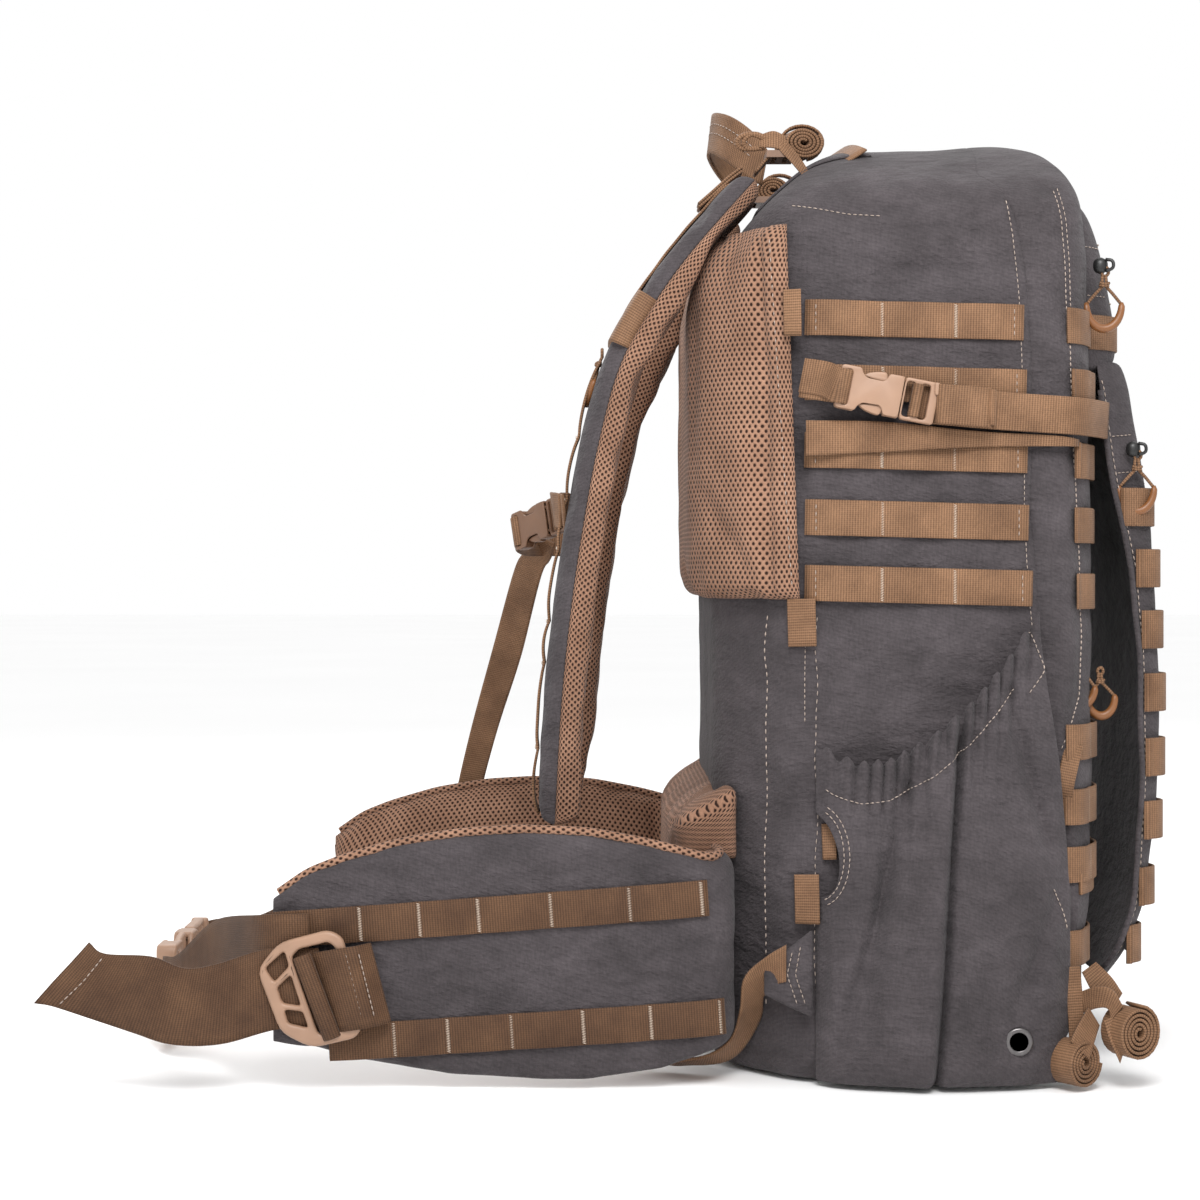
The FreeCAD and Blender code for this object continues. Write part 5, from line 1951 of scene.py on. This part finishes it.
def grab_handle():
    """Wide webbing folded into a standing leaf-shaped loop, with two rows of stitching."""
    tops, lows = [], []
    for k in range(25):
        a = math.pi * k / 24
        y = -44 * math.cos(a)
        rise = math.sin(a)
        tops.append(mm(-57 - 31 * rise ** 0.8, y, 537 + 29.5 * rise ** 0.6))
        lows.append(mm(-61 - 30 * rise ** 0.7, y * (1 - 0.1 * rise), 516 + 26 * rise ** 0.9))
    piece = Piece()
    strip(piece, tops, lows, 2.4 * MM, 44)
    handle = piece.make("handle_loop", WEBBING)
    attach(handle, "grab_handle")
    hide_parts("grab_handle")
    for share in (0.3, 0.52):
        line = [a.lerp(b, share) + mm(-1.0, -0.9, 0.4) for a, b in zip(tops[1:14], lows[1:14])]
        SEWN["grab_handle"].seam(line, Vector((-0.5, -0.8, 0.2)), 3.6 * MM, 2.4 * MM, 0.5 * MM)


# ---------------------------------------------------------------- studio

CAMERA_AT = (-158, -1500, 286)
LENS = 72.9                             # mm, for a sensor 36 mm wide
AIM = Vector((0, 0, 0.28))              # the lamps point at the middle of the pack
# Lamps: name, place in metres, power in watts and size in metres
LAMPS = [("key", (0.0, -1.0, 1.05), 13, 0.5), ("fill", (-1.4, -0.9, 0.7), 2, 1.2),
         ("rim", (-0.5, 1.3, 1.6), 14, 1.2)]


def camera_and_light():
    """Camera at the near side, level, a little above the belt, with soft light from all round."""
    view = bpy.data.cameras.new("camera")
    camera = bpy.data.objects.new("camera", view)
    bpy.context.collection.objects.link(camera)
    camera.location = mm(*CAMERA_AT)
    camera.rotation_euler = (math.radians(90), 0, 0)
    view.sensor_width = 36
    view.lens = LENS
    view.shift_y = -0.025
    view.clip_end = 50
    bpy.context.scene.camera = camera
    world = bpy.data.worlds.new("studio")
    bpy.context.scene.world = world
    world.use_nodes = True
    world.node_tree.nodes["Background"].inputs["Color"].default_value = (1, 1, 1, 1)
    world.node_tree.nodes["Background"].inputs["Strength"].default_value = 1.0
    bpy.context.scene.view_settings.view_transform = "Standard"
    for name, place, power, size in LAMPS:
        lamp = bpy.data.lights.new(name, "AREA")
        lamp.energy = power
        lamp.size = size
        holder = bpy.data.objects.new(name, lamp)
        bpy.context.collection.objects.link(holder)
        holder.location = place
        holder.rotation_euler = (AIM - Vector(place)).to_track_quat("-Z", "Y").to_euler()


def studio_floor():
    """Wide pale floor."""
    reach, cells, level = 14.0, 8, -0.0005
    rows = [[(-reach + 2 * reach * i / cells, -reach + 2 * reach * j / cells, level)
             for j in range(cells + 1)] for i in range(cells + 1)]
    verts = [p for row in rows for p in row]
    wide = cells + 1
    faces = [(i * wide + j, i * wide + j + 1, (i + 1) * wide + j + 1, (i + 1) * wide + j)
             for i in range(cells) for j in range(cells)]
    mesh = bpy.data.meshes.new("studio_floor")
    mesh.from_pydata(verts, [], faces)
    mesh.materials.append(floor_material())
    floor = bpy.data.objects.new("studio_floor", mesh)
    bpy.context.collection.objects.link(floor)


def name_grips():
    """Sliders and grips of the two outer zips, the two in the gap, and those on the shoulder straps."""
    slider_piece("upper_slider", "upper_zip_slider", "upper_zip_slider")
    slider_piece("flap_slider", "flap_zip_slider", "flap_zip_slider")
    for body, name in (("upper_zip_pull", "upper_pull"), ("flap_zip_pull", "flap_pull")):
        low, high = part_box(body)
        mid = (low + high) / 2 / MM
        zip_grip(name, (mid.x, mid.y, high.z / MM), body, (body,))
    for k, (x, z, lean) in enumerate(((116.5, 232, 4), (127, 226, -3))):
        zip_grip("gap_pull_%d" % k, (x, -118 + 4 * k, z), "front_cover", (), lean, 0.8)
    for side, label in ((-1, "left"), (1, "right")):
        zip_grip("strap_pull_" + label, (-157, side * 87, 409), "shoulder_harness", (), 19, 0.95, True)


def finish_cad_parts():
    """Gives every CAD node that still shows its own material."""
    # The lifter buckles and ladder locks take the darker plastic copy that carries painted shade.
    materials = {"back_foam": FOAM, "frame_sheet": BOARD, "aluminium_stays": ALUMINIUM, "belt_core": FOAM,
                 "load_lifter_buckles": SHADED_BROWN_PLASTIC, "strap_ladder_locks": SHADED_BROWN_PLASTIC}
    for name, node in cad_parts.items():
        material = materials.get(name, PLASTIC if ("buckle" in name or "latch" in name) else None)
        if material:
            node.data.materials.clear()
            node.data.materials.append(material)


def sew_up():
    """Turns the collected stitches and bartacks into one object for each body."""
    for kind, material, word in ((SEWN, THREAD, "_stitches"), (TACKS, BARTACK, "_bartacks")):
        for body, piece in kind.items():
            if not piece.verts:
                continue
            if body == "belt_wing_left":
                for side, made in (("left", piece), ("right", piece.twin())):
                    obj = made.make("belt_wing_" + side + word, material)
                    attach(obj, "belt_wing_" + side)
            else:
                obj = piece.paired().make(body + word, material)
                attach(obj, body)


def main():
    """Builds the studio, then the pack from the bag outwards."""
    camera_and_light()
    studio_floor()
    bag = block_half("bag_shell", False)
    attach(bag, "pack")
    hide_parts("main_bag")
    cover = block_half("cover_shell", True)
    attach(cover, "front_cover")
    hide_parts("front_cover")
    bag_tree, cover_tree = surface(bag), surface(cover)
    side_rows(bag_tree)
    bag_stitching(bag_tree, cover_tree)
    cover_rows(cover_tree)
    upper_front_pocket()
    flap_tree = load_flap()
    flap_rows(flap_tree)
    buckles()
    compression()
    mesh_back_pad()
    lumbar()
    pocket_tree = side_pockets()
    grommets(pocket_tree)
    strap = shoulder_straps()
    harness_webbing(surface(strap))
    sternum()
    wing_tree = belt_wings()
    rows = wing_rows(wing_tree)
    for side, piece in (("left", rows), ("right", rows.twin())):
        webbing = piece.make("wing_rows_" + side, DARKER_SHADED_BELT_WEBBING)
        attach(webbing, "belt_wing_" + side)
        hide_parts("wing_webbing_" + side)
    belt_ladders()
    belt_soft()
    lower_back()
    bottom_straps()
    top_gear(bag_tree)
    grab_handle()
    name_grips()
    finish_cad_parts()
    sew_up()


main()
